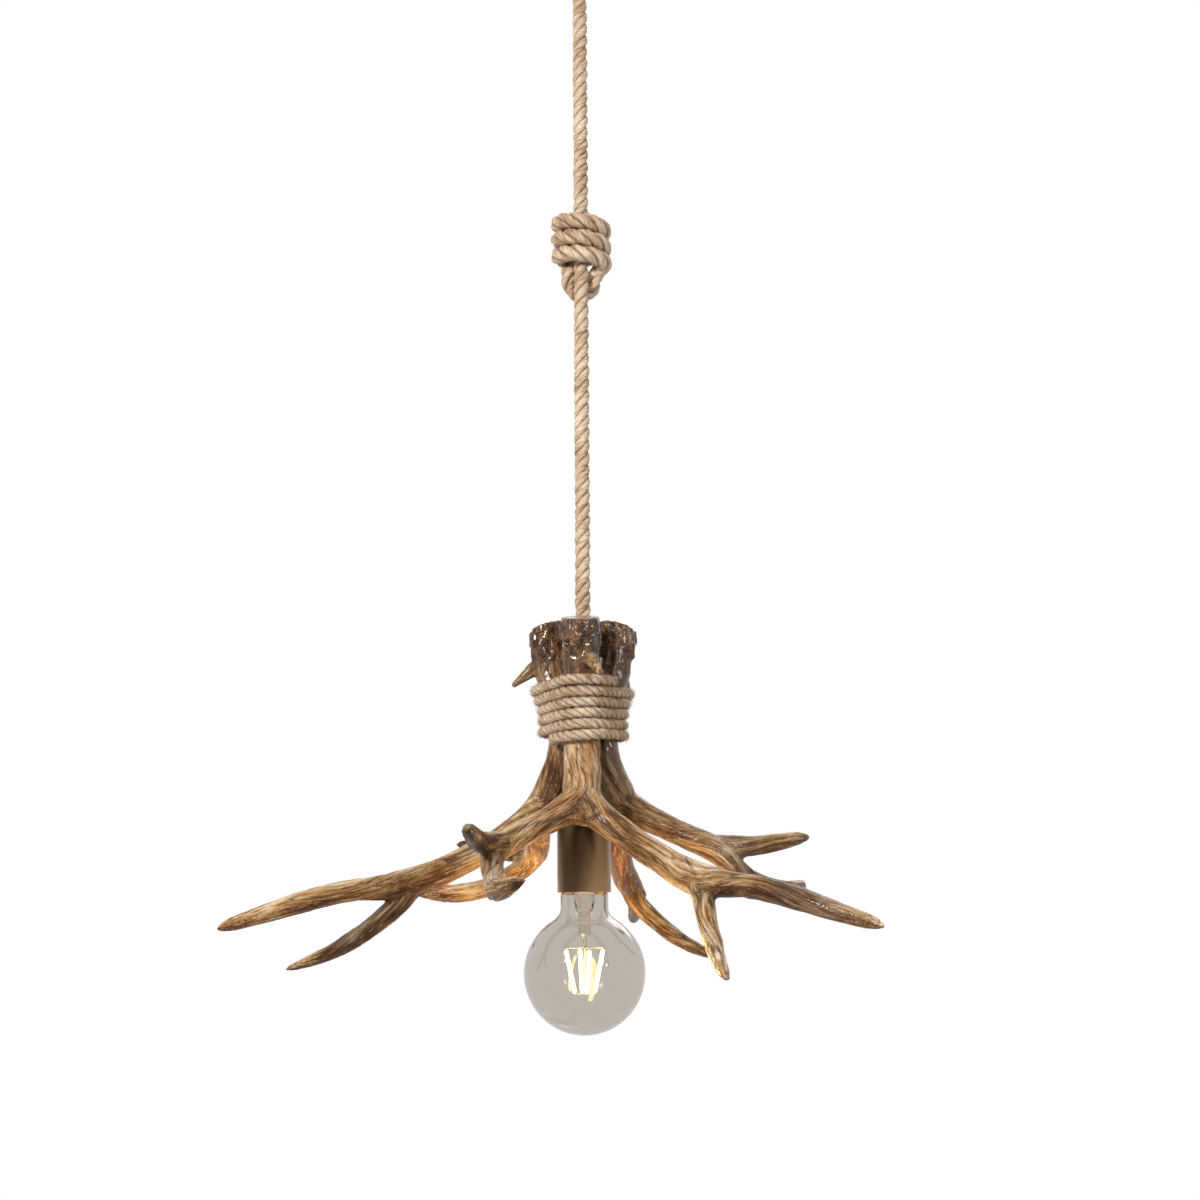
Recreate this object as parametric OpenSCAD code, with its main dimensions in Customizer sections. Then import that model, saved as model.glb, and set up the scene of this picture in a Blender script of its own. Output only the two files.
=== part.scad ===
// Pendant light: three cast antlers bound round a hanging rope, over one globe bulb.
// The origin is on the ceiling, on the axis of the rope, and +Z points up.

/* [Hanging] */
// Diameter of the hanging rope
rope_d = 12; // [11:0.25:12.25]
// Sides of the swept rope
rope_sides = 12; // [8:1:12]

/* [Ceiling fitting] */
// Outer diameter of the canopy
canopy_d = 110; // [100:2:130]
// Height of the canopy
canopy_h = 40; // [36:1:50]
// Wall of the canopy
canopy_wall = 1.2; // [0.8:0.1:2]
// Radius of the canopy's lower corner
canopy_corner = 14; // [6:1:20]
// Length of the ceiling bracket
bracket_l = 90; // [84:1:96]
// Width of the ceiling bracket
bracket_w = 20; // [18:1:24]
// Thickness of the ceiling bracket
bracket_t = 2; // [1.5:0.1:2.5]
// Drop of the bracket's middle below the ceiling
bracket_step = 12; // [10:0.5:14]
// Length of the bracket's dropped middle
bracket_mid_l = 40; // [36:1:44]
// Distance between the two ceiling screw holes
screw_spacing = 74; // [70:1:78]
// Diameter of the ceiling screw holes
screw_hole_d = 4.5; // [3.5:0.1:5.5]
// Diameter of the threaded pipe in the fitting
pipe_d = 10; // [9:0.5:11]
// Diameter of the hole along the threaded pipe
pipe_bore_d = 7; // [6:0.25:7.5]
// Width across flats of the pipe nuts
nut_w = 15; // [14:0.5:17]
// Thickness of the pipe nuts
nut_t = 4; // [3:0.5:5]
// Diameter of the screw collar
collar_d = 22; // [20:1:28]
// Height of the screw collar
collar_h = 6; // [5:0.5:9]

/* [Hanging links] */
// Diameter of the bar of the hanging loop and of the rope eye
loop_bar_d = 4.4; // [4:0.1:5]
// Radius of the middle line of the loop and of the rope eye
loop_r = 8; // [7.5:0.25:10]
// Diameter of the link's bar
link_bar_d = 4; // [3.6:0.1:4.4]
// Radius of the middle line of the link's ends
link_r = 7.5; // [7:0.25:9]
// Distance between the middle lines of the link's two ends
link_l = 20; // [19:0.5:26]
// Running gap between linked pieces
link_gap = 0.3; // [0.2:0.05:0.5]
// Diameter of the eye's shank
shank_d = 6; // [5:0.25:6.5]
// Diameter of the shank's head
shank_head_d = 10; // [9:0.25:11]
// Wall of the rope ferrules
ferrule_wall = 1.8; // [1.5:0.1:2.5]
// Length of the upper rope ferrule
ferrule_l = 26; // [24:1:36]
// Thickness of the ferrule's closed end
ferrule_end = 3; // [2.5:0.25:4]

/* [Knot] */
// Diameter of the loosened rope in the knot
knot_rope_d = 12.5; // [11.5:0.25:12.75]
// Sideways radius of the middle line of the knot's turns
knot_r = 19; // [18.5:0.5:21]
// Radius of the middle line of the knot's turns, front to back
knot_depth_r = 15.5; // [15:0.5:18]
// Height of one turn of the knot
knot_pitch = 14.5; // [14:0.25:16]
// Depth of the knot's first turn below the ceiling
knot_drop = 345; // [300:1:420]
// Length of the bight under the knot's turns
bight_l = 28; // [24:1:34]

/* [Antlers] */
// Turn of the front antler about the rope
front_turn = -2.5; // [-3:0.5:1]
// Turn of the right antler about the rope
right_turn = 3; // [-1:0.5:3]
// Turn of the left antler about the rope
left_turn = 0; // [-1:0.5:1]
// Slope of the sawn top faces
top_slope = 15; // [5:1:18]
// Height of the sawn top faces above the rim of the lamp cover
top_h = 215; // [212:1:220]
// Sides of the swept antler branches
antler_sides = 12; // [10:1:14]
// Gap between an antler and what it seats on
seat_gap = 0.2; // [0.15:0.05:0.4]

/* [Hub] */
// Lower end of the hub above the rim
hub_low = 150; // [148:1:154]
// Upper end of the hub above the rim
hub_high = 186; // [184:1:188]
// Lower radius of the hub
hub_r_low = 8.5; // [8:0.25:9.5]
// Upper radius of the hub
hub_r_high = 16; // [15:0.25:17]
// Height of the antler screws above the rim
screw_h = 160; // [157:0.5:162]
// Diameter of the antler screws
screw_d = 4; // [3:0.25:4.5]
// Diameter of the antler screw heads
screw_head_d = 8; // [7:0.25:9]
// Length of the antler screws under their heads
screw_l = 24; // [22:0.5:24]
// Depth of the rope in its lower ferrule
rope_seat = 15; // [12:1:17]
// Thickness of the lower ferrule's threaded end
lower_end = 6; // [5:0.5:6.5]

/* [Binding] */
// Diameter of the binding rope
binding_d = 7.8; // [7:0.1:7.9]
// Height of one turn of the binding
binding_pitch = 8.5; // [8.4:0.1:9]
// Height of the binding's first turn above the rim
binding_h = 120; // [118:0.5:122]
// Full turns of the binding
binding_turns = 5; // [4:1:5]
// Gap between the binding and the antlers
binding_gap = 0.9; // [0.7:0.05:0.95]

/* [Lamp holder] */
// Outer diameter of the lamp cover
cover_d = 42.3; // [41.5:0.1:44]
// Height of the lamp cover
cover_h = 62; // [60:0.5:64]
// Wall of the lamp cover
cover_wall = 0.8; // [0.6:0.1:1]
// Radius of the cover's upper corner
cover_corner = 2.5; // [1.5:0.25:4]
// Diameter of the holder body
holder_d = 38.6; // [37:0.1:39]
// Height of the holder's lower face above the rim
holder_low = 5; // [4.5:0.25:7]
// Height of the holder's upper face above the rim
holder_high = 47; // [46:0.5:49]
// Inner diameter of the brass screw shell
shell_d = 26.9; // [26.8:0.05:27.2]
// Wall of the brass screw shell
shell_wall = 0.4; // [0.3:0.05:0.5]
// Length of the brass screw shell
shell_l = 24; // [20:1:26]
// Diameter of the lead
lead_d = 5.6; // [5:0.1:5.8]

/* [Bulb] */
// Diameter of the glass globe
globe_d = 95; // [90:1:98]
// Depth of the globe's centre below the rim
globe_drop = 62; // [60:1:66]
// Diameter of the glass neck
neck_d = 37.6; // [36:0.2:38]
// Depth of the neck's lower end below the rim
neck_drop = 13; // [11:0.5:14]
// Wall of the glass
glass_wall = 1; // [0.8:0.1:1.4]
// Diameter of the bulb's screw cap
cap_d = 26.4; // [26:0.05:26.5]
// Height of the top of the screw cap above the rim
cap_high = 27; // [26:0.5:28]
// Number of filament sticks
filaments_n = 4; // [3:1:6]
// Length of a filament stick
filament_l = 33; // [28:1:35]
// Diameter of a filament stick
filament_d = 2; // [1.5:0.1:2.5]

/* [Hidden] */
$fn = 64;
eps = 0.01;
fit = 0.15;

// The route of the hanging rope, from the upper ferrule down to the lower one.
rope_route = [[0, 0, -104], [0, 0, -130], [0, 0, -160], [0, 0, -190], [0, 0, -220], [0, 0, -250],
    [0, 0, -280], [0, 0, -310], [0, 0, -340], [0, 0, -370], [0, 0, -400], [0, 0, -430], [0, 0, -460],
    [0, 0, -490], [0, 0, -520], [0, 0, -550], [0, 0, -580], [0, 0, -610], [0, 0, -640], [0, 0, -670],
    [0, 0, -703]];
rope_end = rope_route[len(rope_route) - 1][2];

// Fixed sizes of small pieces.
bracket_slope = 6;
earth_d = 3;
earth_x = 14;
earth_head_d = 6;
earth_head_t = 3;
collar_rim = 1.5;
shoulder_out = 2.5;
block_size = [17, 22, 13];
block_x = 5;
block_y = 5.5;
block_hole_d = 3.6;
block_screw_d = 3;
block_screw_l = 4.4;
block_screw_low = 1.2;
slot_w = 0.7;
slot_deep = 0.8;
hex_w = 3;
hex_deep = 1.5;
shank_head_t = 3;
screw_head_t = 3;
wound_sides = 6;
knot_gap = 0.5;
knot_end_d = 8;
cap_wall = 0.35;
insulator_d = 18;
tip_d = 9;
tip_pin_d = 2;
neck_wide = 16;
bush_d = 6;
bush_h = 8;
plunger_d = 3;
contact_room = 20;
contact_d = 7;
contact_t = 1;
cap_cone = 5;
tip_t = 0.8;
pin_in = 1;
wire_d = 0.8;
core_wire_d = 1;
wire_in = 3;

// Heights of the ceiling fitting, below the ceiling.
bracket_face = -bracket_step - bracket_t;
canopy_low = -canopy_h;
collar_low = canopy_low - fit - collar_h;
loop_shoulder = 2;
loop_c = collar_low - fit - loop_shoulder - loop_r;
loop_pivot = loop_c - loop_r;
bar_pair = (loop_bar_d + link_bar_d) / 2 + link_gap;
link_top = loop_pivot + bar_pair;
link_pivot = link_top - link_l;
eye_top = link_pivot + bar_pair;
eye_c = eye_top - loop_r;
ferrule_top = eye_c - loop_r - loop_bar_d / 2 - 1;
ferrule_in = ferrule_top - ferrule_end;
ferrule_r = rope_d / 2 + fit + ferrule_wall;
block_out = 27;
block_mid = canopy_low + canopy_wall + block_size[2] / 2;

// Heights in the head and the lamp, above the rim of the lamp cover. The rope's lower end stands over the
// hub's nut and the ferrule's closed end, and drop is the height of the ceiling above the rim.
ferrule_gap = 0.7;
rope_low_h = hub_high + fit + nut_t + ferrule_gap + lower_end + fit;
drop = rope_low_h - rope_end;
stem_d = pipe_d;
stem_bore_d = pipe_d - 2;
stem_low = cover_h - cover_wall - nut_t - 7;
stem_clear = stem_d / 2 + 0.4;
stem_reach = 40;
screw_seat = 30.5;
screw_way = 60;
top_cut = 120;
shell_out = shell_d + 2 * shell_wall;
shell_high = holder_low + 1 + shell_l;
tip_high = cap_high + 2.3;
contact_ceiling = shell_high + 5;
cap_low = cap_high - 24;
cap_in = cap_d / 2 - cap_wall - fit;
glass_high = cap_low + 8;
shoulder = neck_d / 2 - cap_in;
shoulder_low = 3.3;
neck_flare = 5.5;
neck_bend = 9;
stem_flare_drop = 14;
stem_flare_r = 7;
stem_glass_drop = 33;
stem_glass_d = 9;
stem_pinch_drop = 42;
stem_pinch_d = 4;
wire_hub = stem_pinch_drop + wire_d / 2 + 0.2;
stick_high = 44;
stick_r_high = 15;
stick_r_low = 8;
stick_drop = filament_l + 1;

// The trunk of an antler: height above the rim, distance from the rope's axis, and half widths of its
// oval section, across and along the direction away from the axis.
trunk_h = [240, 215, 190, 172, 160, 147, 132, 116, 104, 90];
trunk_out = [34, 32, 30.5, 27.5, 22.8, 18.6, 17.4, 18.4, 20.6, 26.5];
trunk_wide = [16.5, 16, 15.6, 15.2, 15, 14.8, 14.8, 15, 15.4, 15.8];
trunk_deep = [16.5, 16, 15.4, 14.4, 12.8, 12, 11.8, 12, 12.6, 13.4];
function trunk_at(values, h) = lookup(h, [for (i = [0:len(trunk_h) - 1]) [trunk_h[i], values[i]]]);
trunk = [for (i = [0:len(trunk_h) - 1]) [0, -trunk_out[i], trunk_h[i], trunk_deep[i], trunk_wide[i]]];

// Branches of an antler: x, y, height above the rim, and half widths of the oval section.
right_beam = [[1, -37, 71, 13, 15.5], [14, -44, 58, 11.5, 12.5], [34, -54, 43, 10.5, 11],
    [50, -67, 31, 10.5, 11], [67, -81, 20, 10.5, 12], [82, -95, 11, 11, 13.5], [96, -109, 6, 10, 13.5],
    [112, -122, 4, 8.5, 11], [132, -138, 1, 8.5, 9], [158, -157, -7, 8.5, 8.5], [184, -173, -16, 7, 7.5],
    [202, -183, -22, 5, 5.5], [210, -187, -25, 2.2, 2.6]];
down_tine = [[86, -97, 12, 8, 8], [92, -111, -6, 9, 8.5], [94, -131, -22, 8, 7.5], [97, -152, -35, 7.5, 7],
    [100, -175, -46, 6.5, 6], [103, -198, -54, 4.5, 4.5], [105, -211, -58, 2.2, 2.2]];
left_beam = [[-1, -37, 73, 12, 12], [-12, -46, 62, 11.5, 12], [-27, -59, 52, 10.5, 10.5],
    [-45, -71, 42, 10.5, 10.5], [-60, -84, 33, 10.5, 11.5], [-63, -97, 22, 9.5, 9.5],
    [-59, -115, 11, 9, 8.5], [-57, -136, 4, 8.5, 8], [-53, -158, 1, 8.5, 8], [-45, -178, 2, 7.5, 7],
    [-36, -191, 5, 5.5, 5], [-31, -196, 6.5, 2.6, 2.6]];
up_tine = [[-50, -76, 38, 7, 7], [-63, -96, 35, 8.5, 9.5], [-69, -118, 36, 8.5, 8.5],
    [-71, -140, 39, 7.5, 7.5], [-72, -159, 42, 6, 6], [-71, -169, 43, 3.2, 3.2]];
spur_root = [3, -36, 186];
spur_tip = [17, -55, 167];
spur_r = [8, 3.2];
// Webs that fill the crotch of each fork: three points, each with its radius.
webs = [[[-12, -48, 60, 9], [13, -47, 57, 9], [0, -37, 66, 12]],
    [[88, -113, -1, 6.5], [106, -117, 3, 6.5], [88, -101, 8, 8]],
    [[-63, -98, 24, 7], [-65, -103, 34, 7], [-56, -82, 34, 8]]];
// Pearls of the burr: angle from the outward direction, height above the rim, length and radius.
pearls = [[-75, 203, 9, 3], [-52, 196, 12, 3.2], [-30, 206, 8, 3.4], [-8, 198, 13, 3], [16, 205, 9, 3.4],
    [38, 196, 11, 3], [60, 204, 8, 3.2], [80, 197, 9, 2.8]];

function unit(v) = v / norm(v);
function xyz(p) = [p[0], p[1], p[2]];
function blend(p0, p1, p2, p3, t) = 0.5 * (2 * p1 + (p2 - p0) * t
    + (2 * p0 - 5 * p1 + 4 * p2 - p3) * t * t + (3 * p1 - p0 - 3 * p2 + p3) * t * t * t);
// A smooth line through the stations P, with n steps between neighbours.
function smooth(P, n) = [for (i = [0:len(P) - 2]) for (k = [0:n - 1])
    blend(P[max(i - 1, 0)], P[i], P[i + 1], P[min(i + 2, len(P) - 1)], k / n), P[len(P) - 1]];
function tangent(P, i) = unit(xyz(P[min(i + 1, len(P) - 1)]) - xyz(P[max(i - 1, 0)]));
function square_to(v, t) = unit(v - (v * t) * t);
// The side direction at each station, carried along the line without twist.
function sides_along(P, side, i = 0) = i >= len(P) ? [] :
    let (b = square_to(side, tangent(P, i))) concat([b], sides_along(P, b, i + 1));
function rings(P, side, n) = let (B = sides_along(P, side)) [for (i = [0:len(P) - 1])
    let (t = tangent(P, i), a = cross(t, B[i])) for (j = [0:n - 1])
        xyz(P[i]) + a * P[i][3] * cos(360 * j / n) + B[i] * P[i][4] * sin(360 * j / n)];
function tube_faces(m, n) = concat(
    [for (j = [1:n - 2]) [0, j + 1, j]],
    [for (i = [0:m - 2]) for (j = [0:n - 1]) [i * n + j, i * n + (j + 1) % n, (i + 1) * n + (j + 1) % n]],
    [for (i = [0:m - 2]) for (j = [0:n - 1]) [i * n + j, (i + 1) * n + (j + 1) % n, (i + 1) * n + j]],
    [for (j = [1:n - 2]) [(m - 1) * n, (m - 1) * n + j, (m - 1) * n + j + 1]]);
// A closed tube through the stations P, each of them x, y, z and its two half widths.
module sweep(P, side, n) {
    polyhedron(points = rings(P, side, n), faces = tube_faces(len(P), n));
}
// The least distance between surface points of a wound tube that are at least skip rings apart.
function self_gap(P, skip) = let (Q = rings(P, [0, 0, 1], wound_sides), n = wound_sides) min([
    for (i = [0:len(P) - 1 - skip]) for (j = [i + skip:len(P) - 1])
        if (norm(xyz(P[i]) - xyz(P[j])) < P[i][3] * 4) for (a = [0:n - 1]) for (b = [0:n - 1])
            norm(Q[i * n + a] - Q[j * n + b])]);

// Ceiling fitting

module hex_nut(low, w, t, hole) {
    translate([0, 0, low]) difference() {
        linear_extrude(t) circle(d = w / cos(30), $fn = 6);
        translate([0, 0, -1]) cylinder(d = hole, h = t + 2);
    }
}

module ceiling_bracket() {
    slope = bracket_slope;
    m = bracket_mid_l / 2;
    e = bracket_l / 2;
    color([0.72, 0.72, 0.7]) difference() {
        rotate([90, 0, 0]) linear_extrude(bracket_w, center = true) polygon([
            [-e, 0], [-m - slope, 0], [-m, -bracket_step], [m, -bracket_step], [m + slope, 0], [e, 0],
            [e, -bracket_t], [m + slope + bracket_t / 2, -bracket_t], [m + bracket_t / 2, bracket_face],
            [-m - bracket_t / 2, bracket_face], [-m - slope - bracket_t / 2, -bracket_t], [-e, -bracket_t]]);
        translate([0, 0, bracket_face - 1]) cylinder(d = pipe_d + 2 * fit, h = bracket_t + 2);
        for (s = [-1, 1]) translate([s * screw_spacing / 2, 0, -bracket_t - 1])
            cylinder(d = screw_hole_d, h = bracket_t + 2);
        translate([earth_x, 0, bracket_face - 1]) cylinder(d = earth_d + 2 * fit, h = bracket_t + 2);
    }
}

module bracket_nuts() {
    color([0.78, 0.68, 0.4]) {
        hex_nut(-bracket_step + fit, nut_w, nut_t, pipe_d + 2 * fit);
        hex_nut(bracket_face - fit - nut_t, nut_w, nut_t, pipe_d + 2 * fit);
    }
}

module canopy_cup() {
    r = canopy_d / 2;
    color([0.13, 0.12, 0.11]) difference() {
        canopy_form(r, canopy_low, canopy_corner, 0);
        canopy_form(r - canopy_wall, canopy_low + canopy_wall, canopy_corner - canopy_wall, 1);
        translate([0, 0, canopy_low - 1]) cylinder(d = pipe_d + 2 * fit, h = canopy_wall + 2);
    }
}

module canopy_form(r, low, corner, over) {
    arc = [for (a = [0:10:90]) [r - corner + corner * sin(a), low + corner - corner * cos(a)]];
    rotate_extrude($fn = 96) polygon(concat([[0, low]], arc, [[r, -fit + over], [0, -fit + over]]));
}

module screw_collar() {
    color([0.16, 0.15, 0.14]) difference() {
        translate([0, 0, collar_low]) {
            cylinder(d = collar_d, h = collar_h - collar_rim);
            translate([0, 0, collar_h - collar_rim]) cylinder(d = collar_d + 2 * collar_rim, h = collar_rim);
        }
        translate([0, 0, collar_low - 1]) cylinder(d = pipe_d + 2 * fit, h = collar_h + 2);
    }
}

module ring_bar(r, bar_d) {
    rotate([90, 0, 0]) rotate_extrude() translate([r, 0]) circle(d = bar_d, $fn = 32);
}

module hang_loop() {
    pipe_top = -bracket_step + fit + nut_t + 1;
    pipe_low = collar_low - fit;
    color([0.16, 0.15, 0.14]) difference() {
        union() {
            translate([0, 0, pipe_low]) cylinder(d = pipe_d, h = pipe_top - pipe_low);
            translate([0, 0, pipe_low - loop_shoulder])
                cylinder(d = pipe_d + 2 * shoulder_out, h = loop_shoulder);
            translate([0, 0, loop_c]) ring_bar(loop_r, loop_bar_d);
        }
        translate([0, 0, pipe_low]) cylinder(d = pipe_bore_d, h = pipe_top - pipe_low + 1);
    }
}

// Wiring block

module terminal_block() {
    color([0.93, 0.92, 0.88]) translate([-block_out, 0, block_mid]) difference() {
        cube(block_size, center = true);
        for (y = [-block_y, block_y]) {
            translate([0, y, -1]) rotate([0, 90, 0])
                cylinder(d = block_hole_d, h = block_size[0] + 2, center = true);
            for (x = [-block_x, block_x]) translate([x, y, 0])
                cylinder(d = block_screw_d + 2 * fit, h = block_size[2]);
        }
    }
}

// A driver slot across the end of a screw, deep from the face at z = 0 downwards.
module slot(l) {
    translate([-l / 2, -slot_w / 2, -slot_deep]) cube([l, slot_w, 2 * slot_deep]);
}

module terminal_screws() {
    color([0.8, 0.8, 0.78]) translate([-block_out, 0, block_mid + block_screw_low])
        for (x = [-block_x, block_x]) for (y = [-block_y, block_y]) translate([x, y, 0]) difference() {
            cylinder(d = block_screw_d, h = block_screw_l);
            translate([0, 0, block_screw_l]) slot(2 * block_screw_d);
        }
}

module earth_screw() {
    color([0.78, 0.68, 0.4]) translate([earth_x, 0, bracket_face - earth_head_t]) {
        cylinder(d = earth_d, h = bracket_t + earth_head_t + 2);
        difference() {
            cylinder(d = earth_head_d, h = earth_head_t - fit);
            slot(earth_head_d + 2);
        }
    }
}

// Hanging links

module link() {
    half = link_l / 2 - link_r;
    color([0.16, 0.15, 0.14]) translate([0, 0, (link_top + link_pivot) / 2]) rotate([0, 0, 90]) {
        for (s = [-1, 1]) {
            translate([s * link_r, 0, -half - eps]) cylinder(d = link_bar_d, h = 2 * half + 2 * eps);
            translate([0, 0, s * half]) rotate([90, 0, 0]) rotate([0, 0, s * 90 - 90])
                rotate_extrude(angle = 180) translate([link_r, 0]) circle(d = link_bar_d, $fn = 32);
        }
    }
}

module rope_eye() {
    ring_low = eye_c - loop_r - loop_bar_d / 4;
    color([0.16, 0.15, 0.14]) {
        translate([0, 0, eye_c]) ring_bar(loop_r, loop_bar_d);
        translate([0, 0, ferrule_in - fit - eps])
            cylinder(d = shank_d, h = ring_low - ferrule_in + fit + eps);
        translate([0, 0, ferrule_in - fit - shank_head_t]) cylinder(d = shank_head_d, h = shank_head_t);
    }
}

module upper_ferrule() {
    color([0.42, 0.36, 0.27]) difference() {
        translate([0, 0, ferrule_top - ferrule_l]) cylinder(r = ferrule_r, h = ferrule_l);
        translate([0, 0, ferrule_top - ferrule_l - 1])
            cylinder(d = rope_d + 2 * fit, h = ferrule_l - ferrule_end + 1);
        translate([0, 0, ferrule_in - 1]) cylinder(d = shank_d + 2 * link_gap, h = ferrule_end + 2);
    }
}

// Rope and knot

rope_stations = [for (p = rope_route) [p[0], p[1], p[2], rope_d / 2, rope_d / 2]];

module rope() {
    color([0.78, 0.64, 0.43]) sweep(rope_stations, [1, 0, 0], rope_sides);
}

function hermite(p, u, q, v, t) = (2 * t * t * t - 3 * t * t + 1) * p + (t * t * t - 2 * t * t + t) * u
    + (3 * t * t - 2 * t * t * t) * q + (t * t * t - t * t) * v;
function knot_z(a) = -knot_drop - knot_pitch * (a - 270) / 360;
function knot_turn(a) = [knot_r * cos(a), knot_depth_r * sin(a), knot_z(a)];
knot_half = knot_rope_d / 2;
knot_in = rope_d / 2 + knot_gap;
knot_first = 90;
knot_last = 1080;
knot_left = 860;
knot_bend = 7;
bight_swing = [0, 22, -4];
bight_fall = [0, 0, -22];
knot_out = knot_in + knot_end_d;
bight_x = 10;
bight_y = sqrt(pow(knot_in + knot_half, 2) - pow(bight_x, 2)) + knot_gap;
bight_z = knot_z(knot_last) - bight_l + bight_x + knot_half;
bight_back = knot_in + knot_half + knot_gap - bight_y;
left_end = knot_z(knot_left) - knot_half - 1;
function full(p) = concat(p, [knot_half, knot_half]);
function partly(p, t) = let (r = knot_end_d / 2 + (knot_half - knot_end_d / 2) * t) concat(p, [r, r]);
// The hidden upper end runs straight out from the rope, then swings into the first turn.
knot_stations = concat(
    [for (k = [0:1]) partly([0, knot_in + knot_end_d * k / 2, knot_z(knot_first)], 0)],
    [for (u = [0:22.5:90])
        partly([knot_bend * (cos(u) - 1), knot_out + knot_bend * sin(u), knot_z(knot_first)], u / 180)],
    [for (u = [18:18:72])
        partly([-knot_bend - (knot_r - knot_bend) * sin(u), (knot_out + knot_bend) * cos(u),
            knot_z(knot_first + u)], 0.5 + u / 180)],
    [for (a = [180:15:knot_last]) full(knot_turn(a))],
    [for (k = [1:4])
        full(hermite(knot_turn(knot_last), bight_swing, [bight_x, bight_y, bight_z], bight_fall, k / 5))],
    [for (u = [0:20:180])
        full([bight_x * cos(u), bight_y + bight_back * sin(u), bight_z - bight_x * sin(u)])],
    [for (k = [1:3]) full([-bight_x, bight_y, bight_z + (left_end - bight_z) * k / 3])]);
echo(knot_rings = len(knot_stations), knot_gap_mm = self_gap(knot_stations, 8));

module knot() {
    color([0.78, 0.64, 0.43]) sweep(knot_stations, [0, 0, 1], wound_sides);
}

// Antlers

function trunk_place() = [-90 + front_turn, 30 + right_turn, 150 + left_turn];

module ball(p, r) {
    translate(xyz(p)) sphere(r, $fn = 10);
}

module tip(P) {
    n = len(P) - 1;
    end = P[n];
    out = unit(xyz(P[n]) - xyz(P[n - 1]));
    r = min(end[3], end[4]);
    hull() {
        ball(xyz(end) - out * r, r * 0.98);
        ball(xyz(end) + out * r * 0.4, r * 0.75);
    }
}

module antler_form() {
    sweep(smooth(concat(trunk, right_beam), 2), [1, 0, 0], antler_sides);
    sweep(smooth(left_beam, 2), [1, 0, 0], antler_sides);
    sweep(smooth(down_tine, 2), [1, 0, 0], antler_sides);
    sweep(smooth(up_tine, 2), [0, 0, 1], antler_sides);
    for (P = [right_beam, left_beam, down_tine, up_tine]) tip(P);
    for (w = webs) hull() for (p = w) ball(p, p[3]);
    hull() {
        ball(spur_root, spur_r[0]);
        ball((spur_root + spur_tip) / 2, (spur_r[0] + spur_r[1]) / 2);
    }
    hull() {
        ball((spur_root + spur_tip) / 2, (spur_r[0] + spur_r[1]) / 2);
        ball(spur_tip, spur_r[1]);
    }
    for (p = pearls) pearl(p[0], p[1], p[2], p[3]);
}

module pearl(turn, h, l, r) {
    out = trunk_at(trunk_out, h);
    x = trunk_at(trunk_wide, h) * sin(turn);
    y = -out - trunk_at(trunk_deep, h) * cos(turn);
    hull() {
        ball([x * 0.93, y * 0.985, h - l / 2], r);
        ball([x * 0.93, y * 0.985, h + l / 2], r);
    }
}

module antler(place) {
    translate([0, 0, -drop]) rotate([0, 0, place + 90]) difference() {
        antler_form();
        translate([0, -trunk_at(trunk_out, top_h), top_h]) rotate([top_slope, 0, 0])
            translate([-top_cut / 2, -top_cut / 2, 0]) cube(top_cut);
        translate([0, 0, hub_low - stem_reach])
            cylinder(r = stem_clear, h = top_h - hub_low + 2 * stem_reach);
        hub_cone(seat_gap);
        translate([0, 0, screw_h]) rotate([90, 0, 0]) {
            cylinder(d = screw_d + 2 * fit, h = screw_way, $fn = 24);
            translate([0, 0, screw_seat - fit])
                cylinder(d = screw_head_d + 2 * fit, h = screw_way / 2, $fn = 24);
        }
    }
}

module hub_cone(over) {
    translate([0, 0, hub_low - over])
        cylinder(r1 = hub_r_low + over, r2 = hub_r_high + over, h = hub_high - hub_low + over);
    translate([0, 0, hub_high - eps]) cylinder(r = hub_r_high + over, h = over + eps);
}

module antler_front() {
    color([0.4, 0.27, 0.15]) antler(trunk_place()[0]);
}

module antler_right() {
    color([0.4, 0.27, 0.15]) antler(trunk_place()[1]);
}

module antler_left() {
    color([0.4, 0.27, 0.15]) antler(trunk_place()[2]);
}

module hub_core() {
    color([0.3, 0.27, 0.23]) translate([0, 0, -drop]) difference() {
        translate([0, 0, hub_low]) cylinder(r1 = hub_r_low, r2 = hub_r_high, h = hub_high - hub_low);
        translate([0, 0, hub_low - 1]) cylinder(d = stem_d + 2 * fit, h = hub_high - hub_low + 2);
        for (a = trunk_place()) translate([0, 0, screw_h]) rotate([90, 0, a + 90])
            cylinder(d = screw_d + 2 * fit, h = screw_way / 2);
    }
}

module antler_screws() {
    color([0.55, 0.52, 0.47]) translate([0, 0, screw_h - drop]) for (a = trunk_place())
        rotate([90, 0, a + 90]) {
            translate([0, 0, screw_seat - screw_l]) cylinder(d = screw_d, h = screw_l + eps);
            difference() {
                translate([0, 0, screw_seat]) cylinder(d = screw_head_d, h = screw_head_t);
                translate([0, 0, screw_seat + screw_head_t - hex_deep])
                    linear_extrude(2 * hex_deep) circle(d = hex_w, $fn = 6);
            }
        }
}

// Binding

// How much the lean of the trunks at a height widens a level cut through them.
lean_step = 4;
function trunk_lean(h) = let (rise = trunk_at(trunk_out, h + lean_step) - trunk_at(trunk_out, h - lean_step))
    sqrt(1 + pow(rise / (2 * lean_step), 2));
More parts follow.
